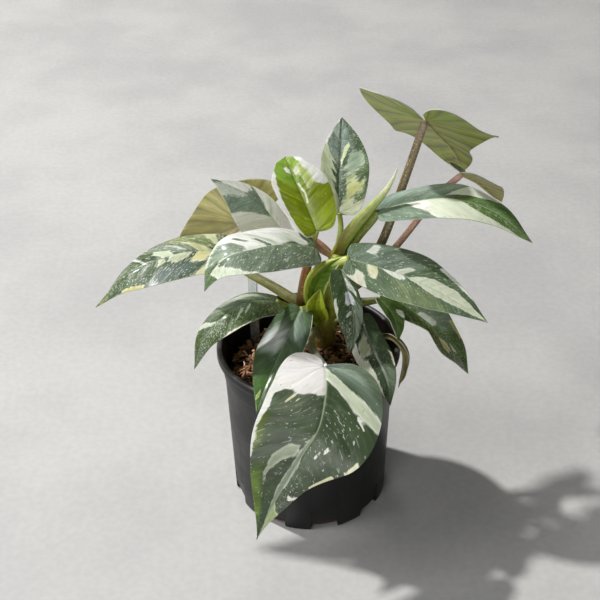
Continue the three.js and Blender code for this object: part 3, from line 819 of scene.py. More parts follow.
# %% What every leaf finish starts from
class LeafFinish(Finish):
    """A finish that knows a leaf's own two directions and what is painted on its corners."""

    def __init__(self, name):
        super().__init__(name)
        mask, number = self.painted("mask")
        self.softly_pale, self.flecks, self.near_rib = self.put("ShaderNodeSeparateColor", {0: mask}).outputs
        self.seed = self.times(number, 37.0)
        self.along, half_way = self.chart("leaf")
        self.across = self.sums("SUBTRACT", self.times(half_way, 2.0), 1.0)
        self.broad = self.streaks(17.0, 1.6, 2.0, 0.6)
        self.fine = self.streaks(70.0, 5.0, 3.0, 0.65)

    def streaks(self, along_scale, across_scale, detail=2.0, roughness=0.5):
        """Noise that is drawn out along the side veins."""
        drawn_out = self.times(self.along, along_scale), self.times(self.across, across_scale)
        return self.noise(self.point(*drawn_out, self.seed), 1.0, detail, roughness)

    def vein_lines(self, count, width):
        """1 on the side veins, falling to nought beside them."""
        wave = self.sums("SINE", self.times(self.sums("ABSOLUTE", self.across), 9.0))
        turns = self.plus(self.times(self.along, float(count)), self.times(wave, 0.1 / math.pi))
        return self.step(self.sums("PINGPONG", turns, 0.5), width, width * 0.25)

    def paleness(self):
        """The soft painted number, torn along the veins by a broad and a fine noise."""
        wide = self.times(self.sums("SUBTRACT", self.broad, 0.5), 0.9)
        thin = self.times(self.sums("SUBTRACT", self.fine, 0.5), 0.75)
        return self.plus(self.softly_pale, self.plus(wide, thin))


print("a leaf finish can ask for streaks, vein lines and paleness")

# %% [markdown]
# Between green and white lies a grey-green fringe, where white tissue covers green, so the colour steps
# twice: once at the fringe and once at the full white. Flecks and short streaks are the peaks of two finer
# noises, and the more of them are painted on a place, the lower the level at which they show.

# %% Where the upper face is white
FRINGE, FULL_WHITE = (0.36, 0.46), (0.50, 0.57)
FLECKS, STREAKS = (0.745, 0.78), (0.78, 0.82)
upper = LeafFinish("leaf upper face")
level = upper.paleness()
fringe, white = upper.step(level, *FRINGE), upper.step(level, *FULL_WHITE)
want = upper.times(upper.flecks, 0.15)
fleck = upper.step(upper.plus(upper.streaks(105.0, 12.0, 2.0, 0.6), want), *FLECKS)
streak = upper.step(upper.plus(upper.streaks(130.0, 4.0, 1.0), want), *STREAKS)
spots = upper.sums("MAXIMUM", fleck, upper.times(streak, 0.5))
pepper = upper.step(upper.streaks(60.0, 11.0), 0.31, 0.27)
print("flecks show above", FLECKS[0], "less 0.15 times what is painted")

# %% The greens and the whites of the upper face
painted_green, rib_paleness = upper.painted("green_tone")
painted_pale = upper.painted("pale_tone")[0]
veins, minor = upper.vein_lines(VEINS, 0.07), upper.vein_lines(VEINS * 4, 0.2)
wisps = upper.streaks(55.0, 3.0, 3.0, 0.65)
silvery = upper.times(upper.step(wisps, 0.5, 0.75), upper.times(upper.flecks, 0.4))
green_here = upper.blend(silvery, painted_green, linear("#a3ae9c"))
green_here = upper.shade(green_here, upper.step(upper.broad, 0.3, 0.7, 0.78, 1.22))
green_here = upper.shade(green_here, upper.step(minor, 0.0, 1.0, 0.95, 1.08))
green_here = upper.shade(green_here, upper.step(veins, 0.0, 1.0, 1.0, 1.1))
pale_here = upper.shade(painted_pale, upper.step(upper.fine, 0.3, 0.7, 0.93, 1.03))
pale_here = upper.shade(pale_here, upper.step(veins, 0.0, 1.0, 1.0, 0.95))
between = upper.blend(0.42, green_here, pale_here)
greyed = upper.times(upper.step(wisps, 0.52, 0.38), upper.times(upper.flecks, 0.5))
pale_here = upper.blend(greyed, pale_here, between)
print("upper face nodes so far:", len(upper.tree.nodes))

# %% The upper face put together
tone = upper.blend(fringe, green_here, between)
tone = upper.blend(white, tone, pale_here)
tone = upper.blend(upper.times(spots, 0.75), tone, upper.blend(0.8, between, pale_here))
tone = upper.blend(upper.times(upper.times(pepper, white), 0.7), tone, between)
tone = upper.blend(upper.times(upper.near_rib, rib_paleness), tone, linear("#c3cfae"))
skin = upper.noise(upper.place(), 1800.0, 2.0)
upper.raise_by(upper.plus(skin, upper.times(minor, 0.8)), 0.00006, 0.5)
upper.set(Base_Color=tone, Roughness=upper.step(upper.broad, 0.3, 0.7, 0.4, 0.5),
          Subsurface_Weight=0.85, Subsurface_Radius=(0.004, 0.004, 0.003), Subsurface_Scale=0.5,
          Specular_IOR_Level=0.2, Coat_Weight=0.4, Coat_Roughness=0.2)
print("upper face nodes:", len(upper.tree.nodes))

# %% [markdown]
# The underside is duller. Its green is milky, its white shows through more softly, and its veins stand out.
# Three leaves of this plant turn their backs to us, yellow-green with brown veins against the light, so the
# underside's tone and the darkness of its veins are painted too.

# %% The finish of the underside
under = LeafFinish("leaf underside")
painted_back, vein_darkness = under.painted("under_tone")
painted_pale = under.painted("pale_tone")[0]
bands = under.times(under.vein_lines(VEINS, 0.34), 0.55)
thin = under.times(under.vein_lines(VEINS * 3, 0.22), 0.35)
veins = under.sums("MAXIMUM", under.vein_lines(VEINS, 0.11), under.sums("MAXIMUM", bands, thin))
tone = under.shade(painted_back, under.step(under.broad, 0.3, 0.7, 0.84, 1.16))
tone = under.blend(under.times(under.step(under.paleness(), 0.4, 0.55), 0.7), tone, painted_pale)
tone = under.blend(under.times(under.times(veins, vein_darkness), 0.75), tone, linear("#54451c"))
tone = under.blend(under.times(under.near_rib, 0.8), tone, linear("#b9b080"))
tone = under.shade(tone, under.step(under.fine, 0.3, 0.7, 0.95, 1.06))
ridges = under.sums("MAXIMUM", veins, under.near_rib)
under.raise_by(under.plus(ridges, under.noise(under.place(), 1500.0, 2.0)), 0.00025, 0.6)
under.set(Base_Color=tone, Roughness=0.5, Subsurface_Weight=0.8,
          Subsurface_Radius=(0.004, 0.004, 0.002), Subsurface_Scale=0.5)
print("underside nodes:", len(under.tree.nodes))

# %% The finish of the cut edge
edge = Finish("leaf edge")
edge_tone = edge.blend(0.45, edge.painted("green_tone")[0], edge.painted("pale_tone")[0])
edge.set(Base_Color=edge_tone, Roughness=0.5)
print("edge nodes:", len(edge.tree.nodes))

# %% [markdown]
# The steps for a leaf are the same each time: add a grid, put its corners on the blade, weld the corners
# that meet at the tip, give the sheet its thickness with Solidify, and let the midrib stand out underneath.

# %% What a leaf's corners carry
SEEDS = 97
BACK_SHADE, BACK_MILK, BACK_VEINS = 0.7, 0.06, 0.25


def paint_leaf(piece, name, leaf, along, across, from_rib):
    """Keeps the markings, the nearness to the midrib and the underside's tone on the sheet's corners."""
    rib_width = 0.35 + 0.55 * (1 - along)
    near_rib = np.exp(-(from_rib / rib_width) ** 2) * np.clip((1 - along) * 9, 0, 1)
    amount, flecks, green_tone, pale_tone = markings(leaf, along, across)
    number = sum(ord(letter) for letter in name) % SEEDS / SEEDS
    all_over = np.ones(len(along))
    usual = np.array(linear(leaf["green"])[:3])
    back = linear(*leaf["under"]) if leaf["under"] else tuple(usual * BACK_SHADE + BACK_MILK) + (BACK_VEINS,)
    shift = (green_tone[:, :3] / usual) ** 0.7
    paint(piece, "mask", np.c_[amount, flecks, near_rib, number * all_over])
    paint(piece, "green_tone", np.c_[green_tone[:, :3], leaf["midrib"] * all_over])
    paint(piece, "pale_tone", pale_tone)
    paint(piece, "under_tone", np.c_[shift * back[:3], back[3] * all_over])


print("up to", SEEDS, "leaves can have flecks of their own")

# %% Which way is up, and the ridge under the midrib
RIDGE = 1.2


def face_up(piece, up):
    """Turns the sheet so that its faces look the way that the leaf's upper face looks."""
    looks = np.array([np.array(face.normal) * face.area for face in piece.data.polygons]).sum(0)
    if looks @ np.array(up, float) < 0:
        take(piece)
        bpy.ops.object.mode_set(mode="EDIT")
        bpy.ops.mesh.select_all(action="SELECT")
        bpy.ops.mesh.flip_normals()
        bpy.ops.object.mode_set(mode="OBJECT")


def raise_midrib(piece):
    """Pushes the underside out along the midrib. Solidify keeps the under corners after the upper ones."""
    places = corners(piece)
    half = len(places) // 2
    values = np.empty(len(places) * 4, np.float32)
    piece.data.attributes["mask"].data.foreach_get("color", values)
    near_rib = values.reshape(-1, 4)[half:, 2:3]
    down = unit(places[half:] - places[:half])
    places[half:] += down * near_rib * RIDGE * MM
    move_corners(piece, places / MM)


print("the midrib stands out by", RIDGE, "mm underneath")

# %% Make one leaf
USUAL_LEAF = {"up_tip": None, "curl": 0.06, "wave": (0.8, 2), "relief": 1.0, "sweep": 0.24,
              "green": DARK, "pale": WHITE, "under": None, "flecks": 0.3, "midrib": 0.25}
TOWARDS_RIB = 1.4
blade_foot = {}


def make_leaf(name, slot="leaf", rows=80, columns=36, thick=0.7, **said):
    """A leaf is said by its midrib, the way it faces, its halves, and how it is curved and marked. What isn't
    said is as usual. The foot of each blade is kept for its stalk."""
    leaf = {**USUAL_LEAF, **said}
    deselect()
    bpy.ops.mesh.primitive_grid_add(x_subdivisions=rows, y_subdivisions=columns, size=2)
    piece = bpy.context.object
    piece.name = piece.data.name = "dressed_" + name
    flat = corners(piece)
    along = (flat[:, 0] + 1) / 2
    across = np.sign(flat[:, 1]) * np.abs(flat[:, 1]) ** TOWARDS_RIB
    places, from_rib = blade(leaf, along, across)
    move_corners(piece, places)
    paint_leaf(piece, name, leaf, along, across, from_rib)
    lay_map(piece, "leaf", along, (across + 1) / 2)
    weld(piece, closed=False)
    face_up(piece, leaf["up"])
    for finish in (upper, under, edge):
        piece.data.materials.append(finish.material)
    apply_modifier(piece, "SOLIDIFY", thickness=thick * MM, offset=0, material_offset=1,
                   material_offset_rim=2)
    raise_midrib(piece)
    finish_piece(piece, name)
    blade_foot[name] = leaf["rib"][0]


print("a leaf of", 80 * 36, "quads before it gets its thickness")

# %% [markdown]
# The big front leaf hangs over the rim towards us. Its right half, which we see on the left, starts pinkish
# white and turns dark green along a slanted, crisp line. Its left half is grey-green with a pale stripe and a
# cloud of flecks.

# %% The front leaf
make_leaf(
    "leaf_front", rows=150, columns=56, thick=0.8,
    rib=[(12, -60, 168), (12, -79, 158), (6, -98, 139), (-7, -108, 120), (-30, -119, 80),
         (-43, -127, 53)],
    up=(0, -0.5, 0.9), up_tip=(0, -0.95, 0.3), right=Half(46, 0.34, 0.08, 0.65, 4, 12),
    left=Half(45, 0.24, 0.02, 0.95, -6, 8, [(0.74, 0.14, -0.34)]),
    wave=(1.5, 2), green="#46563a", flecks=0.5, midrib=0.7,
    marks=[
        green(LEFT, "#768578", *band(0, 0.4, 0, 1.1)),
        green(LEFT, "#96a493", (0.24, 0.1), (0.26, 0.55), (0.34, 0.85), (0.37, 0.8), (0.34, 0.1), soft=4),
        green(LEFT, "#66765f", (0.2, 0.7), (0.2, 1.1), (0.4, 1.1), (0.38, 0.7), soft=5),
        green(RIGHT, "#5d6853", (0.4, 0.1), (0.38, 0.5), (0.4, 0.9), (0.55, 0.85), (0.6, 0.05), soft=7),
        green(RIGHT, "#738334", (0.5, 0.88), (0.5, 1.1), (0.64, 1.1), (0.62, 0.88), soft=5),
        green(RIGHT, "#6b8636", (0.7, 0.8), (0.7, 1.1), (0.92, 1.1), (0.9, 0.72)),
        flecked(RIGHT, 0.0, (0, -0.1), (0, 0.9), (0.35, 0.9), (0.38, 0.6), (0.46, 0.1), (0.46, -0.1),
            soft=3),
        flecked(RIGHT, 0.6, (0.4, 0.3), (0.4, 0.9), (0.58, 0.9), (0.6, 0.1), (0.5, 0.1), soft=5),
        pale(RIGHT, PINKISH, (0, -0.1), (0, 1.1), (0.36, 1.1), (0.37, 0.87), (0.37, 0.7), (0.4, 0.55),
            (0.45, 0.3), (0.49, 0.12), (0.5, -0.1), soft=2),
        pale(RIGHT, WHITE, (0.33, 1.15), (0.33, 0.84), (0.37, 0.87), (0.45, 0.91), (0.55, 0.95),
            (0.66, 0.985), (0.66, 1.15), soft=1.5),
        pale(RIGHT, "#a3ad93", (0.655, 0.15), (0.64, 0.4), (0.67, 0.6), (0.73, 0.74), (0.78, 0.7),
            (0.72, 0.6), (0.695, 0.4), (0.69, 0.15), soft=2.8),
        pale(RIGHT, "#9aa792", (0.59, -0.1), (0.62, 0.03), (0.7, 0.12), (0.8, 0.22), (0.86, 0.2),
            (0.93, 0.05), (0.93, -0.1), soft=2.6),
        pale(RIGHT, CREAM, (0.41, 0.5), (0.42, 0.66), (0.43, 0.64), (0.425, 0.48), soft=1),
        pale(RIGHT, CREAM, *band(0.45, 0.457, 0.42, 0.48), soft=0.9),
        pale(LEFT, "#ccd4bb", (0.37, -0.05), (0.4, 0.1), (0.42, 0.3), (0.425, 0.5), (0.42, 0.7),
            (0.42, 1.02), (0.45, 1.02), (0.47, 0.7), (0.475, 0.5), (0.465, 0.3), (0.44, 0.05),
            (0.42, -0.05), soft=2.2),
        pale(LEFT, WHITE, (0.35, 0.12), (0.355, 0.28), (0.365, 0.28), (0.365, 0.12), soft=1.3),
        pale(LEFT, GREYMINT, (0.68, -0.05), (0.72, 0.12), (0.8, 0.1), (0.8, -0.05), soft=2),
        flecked(LEFT, 0.75, *band(0.49, 0.66, 0.1, 0.75)),
        pale(LEFT, WHITE, (0.478, 0.62), (0.485, 0.78), (0.49, 0.78), (0.487, 0.62), soft=0.9),
        pale(LEFT, WHITE, (0.6, 0.4), (0.607, 0.48), (0.622, 0.48), (0.617, 0.4), soft=1.1),
        pale(LEFT, WHITE, (0.64, 0.34), (0.645, 0.39), (0.655, 0.39), (0.652, 0.34), soft=0.9),
        pale(LEFT, CREAM, (0.53, 0.94), (0.53, 1.1), (0.58, 1.1), (0.58, 0.95), soft=1.1),
        pale(LEFT, CREAM, (0.62, 0.92), (0.62, 1.1), (0.71, 1.1), (0.71, 0.94), soft=1.3),
        pale(LEFT, WHITE, (0.8, 0.52), (0.812, 0.7), (0.8, 0.86), (0.77, 1.05), (0.755, 1.05),
            (0.785, 0.82), (0.795, 0.6), soft=1.1),
        flecked(LEFT, 1.0, *band(0.74, 0.84, 0.3, 0.8)),
        pale(LEFT, "#a9b884", (0.85, -0.05), (0.87, 0.35), (0.87, 1.1), (1, 1.1), (1, -0.05), soft=1.8),
    ],
)

# %% [markdown]
# The smaller leaves at the front left are nearly all green. The silver on them in the photograph is mostly
# light on a glossy face, so a soft grey patch stands for it where the finish alone shines too little.

# %% The two lower leaves on the left
make_leaf(
    "leaf_front_left",
    rib=[(-6, 4, 178), (-17, -22, 168), (-26, -44, 161), (-34, -64, 153), (-41, -82, 141)],
    up=(0, -0.2, 1), right=Half(19, 0.42, 0.02, 0.4, 8, 8), left=Half(17, 0.42, 0.02, 0.4, 4, 0),
    curl=0.08, wave=(0.6, 2), green="#4d6343", flecks=0.15,
    marks=[
        green(RIGHT, "#d6ddd7", (0.38, 0.95), (0.4, 0.5), (0.44, 0.15), (0.58, 0.08), (0.62, 0.25),
            (0.54, 0.7), (0.48, 0.95), soft=5),
        green(LEFT, "#7b8d7c", (0.38, 0), (0.36, 0.7), (0.42, 0.75), (0.5, 0.2), (0.5, 0), soft=3),
        green(RIGHT, "#4e6f36", *band(0.76, 1, 0, 1)),
        pale(RIGHT, LIME, (0.86, 0.4), (0.88, 0.9), (0.905, 0.9), (0.9, 0.4), soft=1.2),
        pale(LEFT, MINT, (0.24, 0.96), (0.24, 1.1), (0.66, 1.1), (0.66, 0.97), soft=0.8),
    ],
)
make_leaf(
    "leaf_left_low",
    rib=[(-25, 0, 189), (-44, -16, 200), (-64, -30, 197), (-81, -38, 182), (-90, -42, 154)],
    up=(0, -0.4, 0.9), right=Half(10, 0.4, 0.03, 0.3, 0, 0), left=Half(17, 0.35, 0.03, 0.4, 0, 0),
    wave=(0.5, 2), green="#4b5f34", flecks=0.8,
    marks=[
        green(RIGHT, "#82917a", (0.34, 0.1), (0.34, 1), (0.6, 1), (0.63, 0.1), soft=4),
        pale(RIGHT, "#c3ccbd", (0.38, 0.5), (0.4, 0.8), (0.5, 0.98), (0.55, 0.8), (0.48, 0.5), soft=4),
        pale(RIGHT, "#cdd2c0", (0.66, 1.1), (0.71, 0.6), (0.745, 0.05), (0.765, 0.05), (0.75, 0.6),
            (0.71, 1.1), soft=1.5),
        green(LEFT, "#63774f", *band(0.4, 0.62, 0, 0.6), soft=4),
        pale(LEFT, GREYMINT, (0.52, 0.12), (0.53, 0.5), (0.55, 0.5), (0.54, 0.12), soft=1.6),
        pale(LEFT, GREYMINT, (0.57, 0.2), (0.585, 0.6), (0.6, 0.6), (0.59, 0.2), soft=1.4),
        pale(LEFT, CREAM, (0.44, 0.92), (0.5, 0.95), (0.62, 0.95), (0.68, 1.1), (0.44, 1.1), soft=1.4),
        flecked(LEFT, 1.2, *band(0.68, 0.95, 0, 0.8)),
    ],
)

# %% [markdown]
# The leaf that reaches left above them is the brightest: its far half is white nearly from end to end, with a
# few dark streaks. The far left leaf has cream and olive streaks that follow its veins.

# %% The two upper leaves on the left
make_leaf(
    "leaf_left_up", columns=44,
    rib=[(6, 14, 230), (-17, 2, 241), (-44, -9, 243), (-62, -15, 240), (-74, -18, 228), (-80, -19, 212)],
    up=(0, -0.1, 1), right=Half(22, 0.5, 0.02, 0.2, 12, 4), left=Half(25, 0.42, 0.02, 0.4, -15, -10),
    green=GREEN, flecks=0.7, midrib=0.4,
    marks=[
        green(LEFT, "#6c7b66", *band(0.2, 0.8, 0, 1.1)),
        green(LEFT, "#4f6c3a", *band(0.87, 1, 0, 1), soft=3),
        flecked(LEFT, 0.8, *band(0.3, 0.78, 0, 0.85)),
        pale(RIGHT, WHITE, (0.22, 1.1), (0.26, 1), (0.36, 0.1), (0.4, -0.1), (0.73, -0.1), (0.72, 0.1),
            (0.68, 0.5), (0.66, 1), (0.66, 1.1), soft=2.5),
        pale(RIGHT, "#d6decd", (0.65, 1.1), (0.67, 0.5), (0.71, -0.1), (0.84, -0.1), (0.84, 0.4),
            (0.86, 0.9), (0.86, 1.1), soft=2.5),
        pale(RIGHT, "#c6cdbf", (0.39, 0.08), (0.37, 0.6), (0.4, 0.62), (0.43, 0.1), soft=4),
        pale(RIGHT, "#b4beb2", (0.49, 0.1), (0.47, 0.8), (0.5, 0.85), (0.53, 0.1), soft=3),
        green(RIGHT, "#5c7148", *band(0.86, 0.97, 0, 1), soft=2.5),
        green(RIGHT, GREY, (0.36, -0.1), (0.395, 0.13), (0.47, 0.04), (0.47, -0.1), soft=1.8),
        green(RIGHT, GREY, (0.545, -0.02), (0.53, 0.5), (0.55, 0.52), (0.58, 0), soft=1.8),
        green(RIGHT, "#7c8a78", *band(0.585, 0.61, 0.45, 0.8), soft=1.8),
        green(RIGHT, "#8a9885", (0.66, 0.2), (0.66, 0.7), (0.72, 0.95), (0.84, 0.8), (0.86, 0.3),
            (0.78, 0.02), (0.72, 0.02), soft=6),
        pale(LEFT, "#ccd5c0", (0.48, 1.1), (0.54, 0.96), (0.64, 0.9), (0.71, 0.78), (0.77, 0.62),
            (0.83, 0.3), (0.85, -0.1), (0.91, -0.1), (0.9, 0.3), (0.87, 0.7), (0.82, 1.1), soft=2.6),
    ],
)
make_leaf(
    "leaf_far_left", columns=40,
    rib=[(-65, 18, 225), (-92, 11, 230), (-115, 4, 228), (-143, -4, 218), (-167, -12, 194)],
    up=(0, 0, 1), right=Half(21, 0.36, 0.2, 0.4, 24, -30), left=Half(24, 0.38, 0.04, 0.4, -20, -20),
    curl=0.04, green="#4d6040", flecks=1.0,
    marks=[
        green(RIGHT, "#7f8a58", (0.3, 0.2), (0.3, 1.1), (0.46, 1.1), (0.48, 0.2), soft=4),
        pale(RIGHT, "#c2ca9c", (0.33, 0.35), (0.32, 1.1), (0.35, 1.1), (0.37, 0.35), soft=2.5),
        pale(RIGHT, "#cdcf9e", (0.4, -0.1), (0.41, 0.5), (0.44, 0.56), (0.46, 0.2), (0.47, -0.1),
            soft=2.5),
        green(RIGHT, "#77836e", (0.46, 0), (0.47, 1.1), (0.6, 1.1), (0.6, 0), soft=4),
        pale(RIGHT, GREYMINT, (0.51, 0.15), (0.505, 0.65), (0.52, 0.7), (0.53, 0.15), soft=2),
        pale(RIGHT, "#c6cfb4", (0.6, -0.1), (0.58, 0.3), (0.6, 0.6), (0.64, 0.5), (0.65, -0.1), soft=2.4),
        pale(RIGHT, WHITE, (0.64, 1.1), (0.69, 0.5), (0.72, 0.1), (0.725, -0.1), (0.74, -0.1),
            (0.73, 0.1), (0.705, 0.5), (0.66, 1.1), soft=1.1),
        green(RIGHT, "#586b42", *band(0.76, 1, 0, 1.1), soft=4),
        green(RIGHT, "#6c7038", *band(0.92, 1, 0, 1.1), soft=4),
        pale(LEFT, "#dcd8a0", (0.4, -0.05), (0.4, 0.4), (0.46, 0.42), (0.48, -0.05), soft=3),
        pale(LEFT, "#c3caae", (0.49, -0.05), (0.5, 0.25), (0.54, 0.36), (0.6, 0.28), (0.61, -0.05),
            soft=3),
        pale(LEFT, "#c9cfae", (0.63, 0.05), (0.62, 0.25), (0.645, 0.35), (0.665, 0.05), soft=1.6),
        green(LEFT, "#5c6c66", *band(0.4, 0.62, 0.45, 0.95), soft=4),
        flecked(LEFT, 0.9, *band(0.42, 0.7, 0.4, 1)),
        pale(LEFT, CREAM, (0.28, 0.5), (0.28, 1.1), (0.37, 1.1), (0.38, 0.5), soft=3),
        pale(LEFT, "#c0bb6e", (0.64, 0.93), (0.64, 1.0), (0.7, 1.1), (0.82, 1.1), (0.8, 0.9),
            (0.72, 0.84), soft=2.4),
        green(LEFT, "#6c7038", *band(0.92, 1, 0, 1.1), soft=4),
    ],
)

# %% [markdown]
# Two leaves stand up at the back left. One leans away and shows us its back: olive, with brown veins.

# %% The upright leaves at the back left
make_leaf(
    "leaf_up_left", columns=44,
    rib=[(-9, 48, 220), (-21, 53, 226), (-36, 55, 246), (-54, 53, 262), (-75, 48, 274)],
    up=(0.4, -0.8, 0.45), right=Half(10, 0.3, 0.06, 0.2, 8, 8), left=Half(28, 0.4, 0.06, 0.3, 0, 0),
    curl=0.04, wave=(0.6, 2), green="#92a391", flecks=0.6, midrib=0.0,
    # The whites of this leaf are painted nearly pure white, lighter than its own: painted light where little
    # light reaches it.
    marks=[
        pale(RIGHT, "#fdf6ee", (0.1, -0.1), (0.1, 1.1), (0.5, 1.1), (0.46, -0.1), soft=4),
        pale(RIGHT, "#f6faea", (0.46, -0.1), (0.48, 1.1), (0.7, 1.1), (0.68, 0.5), (0.64, 0.3),
            (0.64, -0.1), soft=3),
        pale(RIGHT, "#cbd6c8", (0.56, -0.1), (0.55, 0.8), (0.58, 0.8), (0.6, -0.1), soft=2),
        green(RIGHT, "#75836f", (0.63, -0.1), (0.65, 0.3), (0.69, 0.55), (0.73, 0.4), (0.8, 0.05),
            (0.8, -0.1), soft=2.6),
        pale(RIGHT, "#fafdf0", (0.82, -0.1), (0.77, 0.35), (0.71, 0.7), (0.71, 1.1), (0.96, 1.1),
            (0.94, -0.1), soft=2.5),
        pale(LEFT, "#f4f8e6", (0.3, -0.1), (0.3, 1.1), (0.7, 1.1), (0.66, 0.6), (0.6, 0.25), (0.58, -0.1),
            soft=3),
        green(LEFT, "#8d9f90", (0.56, 0), (0.64, 0.5), (0.72, 1.1), (0.86, 1.1), (0.8, 0), soft=3),
        pale(LEFT, "#dde6da", (0.78, -0.1), (0.8, 0.4), (0.88, 1.1), (0.97, 1.1), (0.97, -0.1), soft=4),
    ],
)
make_leaf(
    "leaf_rear_left", columns=48,
    rib=[(-55, 75, 217), (-72, 72, 211), (-93, 66, 203), (-116, 58, 191)],
    up=(-0.4, 0.85, 0.35), right=Half(26, 0.3, 0.2, 0.3, 24, 20), left=Half(42, 0.05, 0.62, 0.6, 20, 14),
    curl=0, green=GREEN, under=("#cbc69c", 0.5), relief=1.2, sweep=0.9,
    marks=[
        green(RIGHT, "#6d5a34", (0.2, -0.1), (0.2, 0.5), (0.5, 0.4), (0.5, -0.1), soft=8),
        green(LEFT, "#6d5a34", (0.2, -0.1), (0.3, 0.3), (0.5, 0.2), (0.5, -0.1), soft=8),
    ],
)

# %% [markdown]
# The youngest open leaf, in the middle at the top, is still lime green with white sectors, and the one
# behind it has already darkened: a jagged dark stripe along the midrib and mint fields beside it.

# %% The young leaf and the top leaf
make_leaf(
    "leaf_young", rows=150, columns=44,
    rib=[(8, 26, 238), (1, 34, 254), (-7, 42, 271), (-13, 50, 283), (-16, 57, 288)],
    up=(0, -0.8, 0.6), right=Half(24, 0.5, 0.04, 0, 10, 10, [(0.92, 0.07, 0.45)]),
    left=Half(19, 0.7, 0.04, 0, 12, 12, [(0.92, 0.07, 0.45)]),
    curl=0.12, wave=(0.5, 2), green="#84950f", flecks=0.35, midrib=0.35,
    marks=[
        green(RIGHT, "#94a41c", *band(0.2, 0.42, 0.3, 1), soft=4),
        green(RIGHT, "#8fac44", *band(0.68, 1, 0, 1.1)),
        green(LEFT, "#86a63a", *band(0.66, 1, 0, 1.1)),
        pale(RIGHT, "#b9c878", (0.54, 0.3), (0.56, 0.62), (0.74, 0.74), (0.86, 0.72), (0.88, 0.5),
            (0.78, 0.34), soft=2.6),
        pale(RIGHT, WHITE, (0.4, 1.1), (0.44, 0.82), (0.52, 0.72), (0.57, 0.58), (0.66, 0.66),
            (0.74, 0.72), (0.84, 0.7), (0.91, 0.74), (0.94, 0.86), (0.94, 1.1), soft=2),
        pale(RIGHT, "#e2e9ba", (0.42, 0.05), (0.42, 0.12), (0.56, 0.17), (0.71, 0.1), (0.71, 0.04),
            (0.56, 0.12), soft=1),
        pale(RIGHT, "#f2f6dc", (0.79, 0.15), (0.79, 0.42), (0.83, 0.52), (0.87, 0.42), (0.87, 0.15),
            soft=2.2),
        pale(LEFT, "#f2f6dc", (0.83, 0.12), (0.83, 0.4), (0.87, 0.5), (0.895, 0.36), (0.89, 0.12),
            soft=2.2),
        pale(LEFT, WHITE, (0.02, 1.1), (0.1, 0.91), (0.38, 0.83), (0.46, 0.79), (0.62, 0.83),
            (0.72, 0.92), (0.78, 1.1), soft=1.3),
    ],
)
make_leaf(
    "leaf_top", columns=44,
    rib=[(27, 56, 237), (27, 72, 254), (29, 90, 272), (31, 110, 296)],
    up=(-0.1, -0.85, 0.5), right=Half(25, 0.42, 0.04, 0, 10, 10), left=Half(16, 0.55, 0.03, 0.1, 14, 14),
    wave=(0.8, 2.5), green="#50624a", pale=MINT, flecks=0.9, midrib=0.0,
    marks=[
        green(RIGHT, "#73837a", *band(0.74, 1, 0, 0.6), soft=4),
        pale(RIGHT, "#c8ccb2", (0.1, -0.1), (0.1, 1.1), (0.35, 1.1), (0.37, 0.2), (0.35, -0.1), soft=5),
        pale(RIGHT, "#bcbd74", (0.37, 0.25), (0.37, 0.85), (0.4, 0.85), (0.43, 0.3), soft=4),
        green(RIGHT, "#5c7048", (0.33, 0.5), (0.31, 1.02), (0.35, 1.02), (0.37, 0.55), soft=2.4),
        pale(RIGHT, "#b6bb86", (0.44, 0.25), (0.45, 0.55), (0.5, 0.56), (0.51, 0.24), soft=3),
        pale(RIGHT, "#93a48f", (0.52, 0.34), (0.54, 0.9), (0.68, 0.9), (0.72, 0.55), (0.67, 0.3),
            (0.58, 0.2), soft=6),
        green(RIGHT, "#4a5f3c", (0.5, 0.87), (0.5, 1.1), (0.82, 1.1), (0.78, 0.8), (0.66, 0.9), soft=1.8),
        green(RIGHT, "#5c7048", (0.44, 0.56), (0.49, 0.6), (0.53, 0.95), (0.48, 1), (0.43, 0.75),
            soft=2.6),
        pale(RIGHT, "#d8dfb0", (0.64, 0.06), (0.69, 0.16), (0.74, 0.3), (0.78, 0.5), (0.8, 0.46),
            (0.78, 0.2), (0.7, 0.02), soft=1.4),
        pale(LEFT, "#ccd3ba", (0.1, -0.1), (0.1, 1.1), (0.67, 1.1), (0.68, 0.5), (0.64, 0.2), (0.6, 0.5),
            (0.56, 0.16), (0.52, 0.48), (0.47, 0.14), (0.42, 0.4), (0.38, -0.1), soft=2),
        green(LEFT, "#7c8c88", (0.62, -0.05), (0.645, 0.5), (0.68, 1.1), (0.88, 1.1), (0.88, -0.05),
            soft=3),
        flecked(LEFT, 1.3, (0.64, 0), (0.66, 0.9), (0.95, 0.9), (0.95, 0), soft=3),
        pale(LEFT, WHITE, (0.66, 0.9), (0.66, 1.1), (0.96, 1.1), (0.96, 0.88), soft=1.2),
        pale(LEFT, "#a4b0ae", *band(0.84, 0.94, 0.4, 1.1), soft=4),
    ],
)

# %% [markdown]
# On the right, one leaf reaches out high above the others and one lies below it. Both have a dark upper part
# and a white or mint band that widens towards the tip.

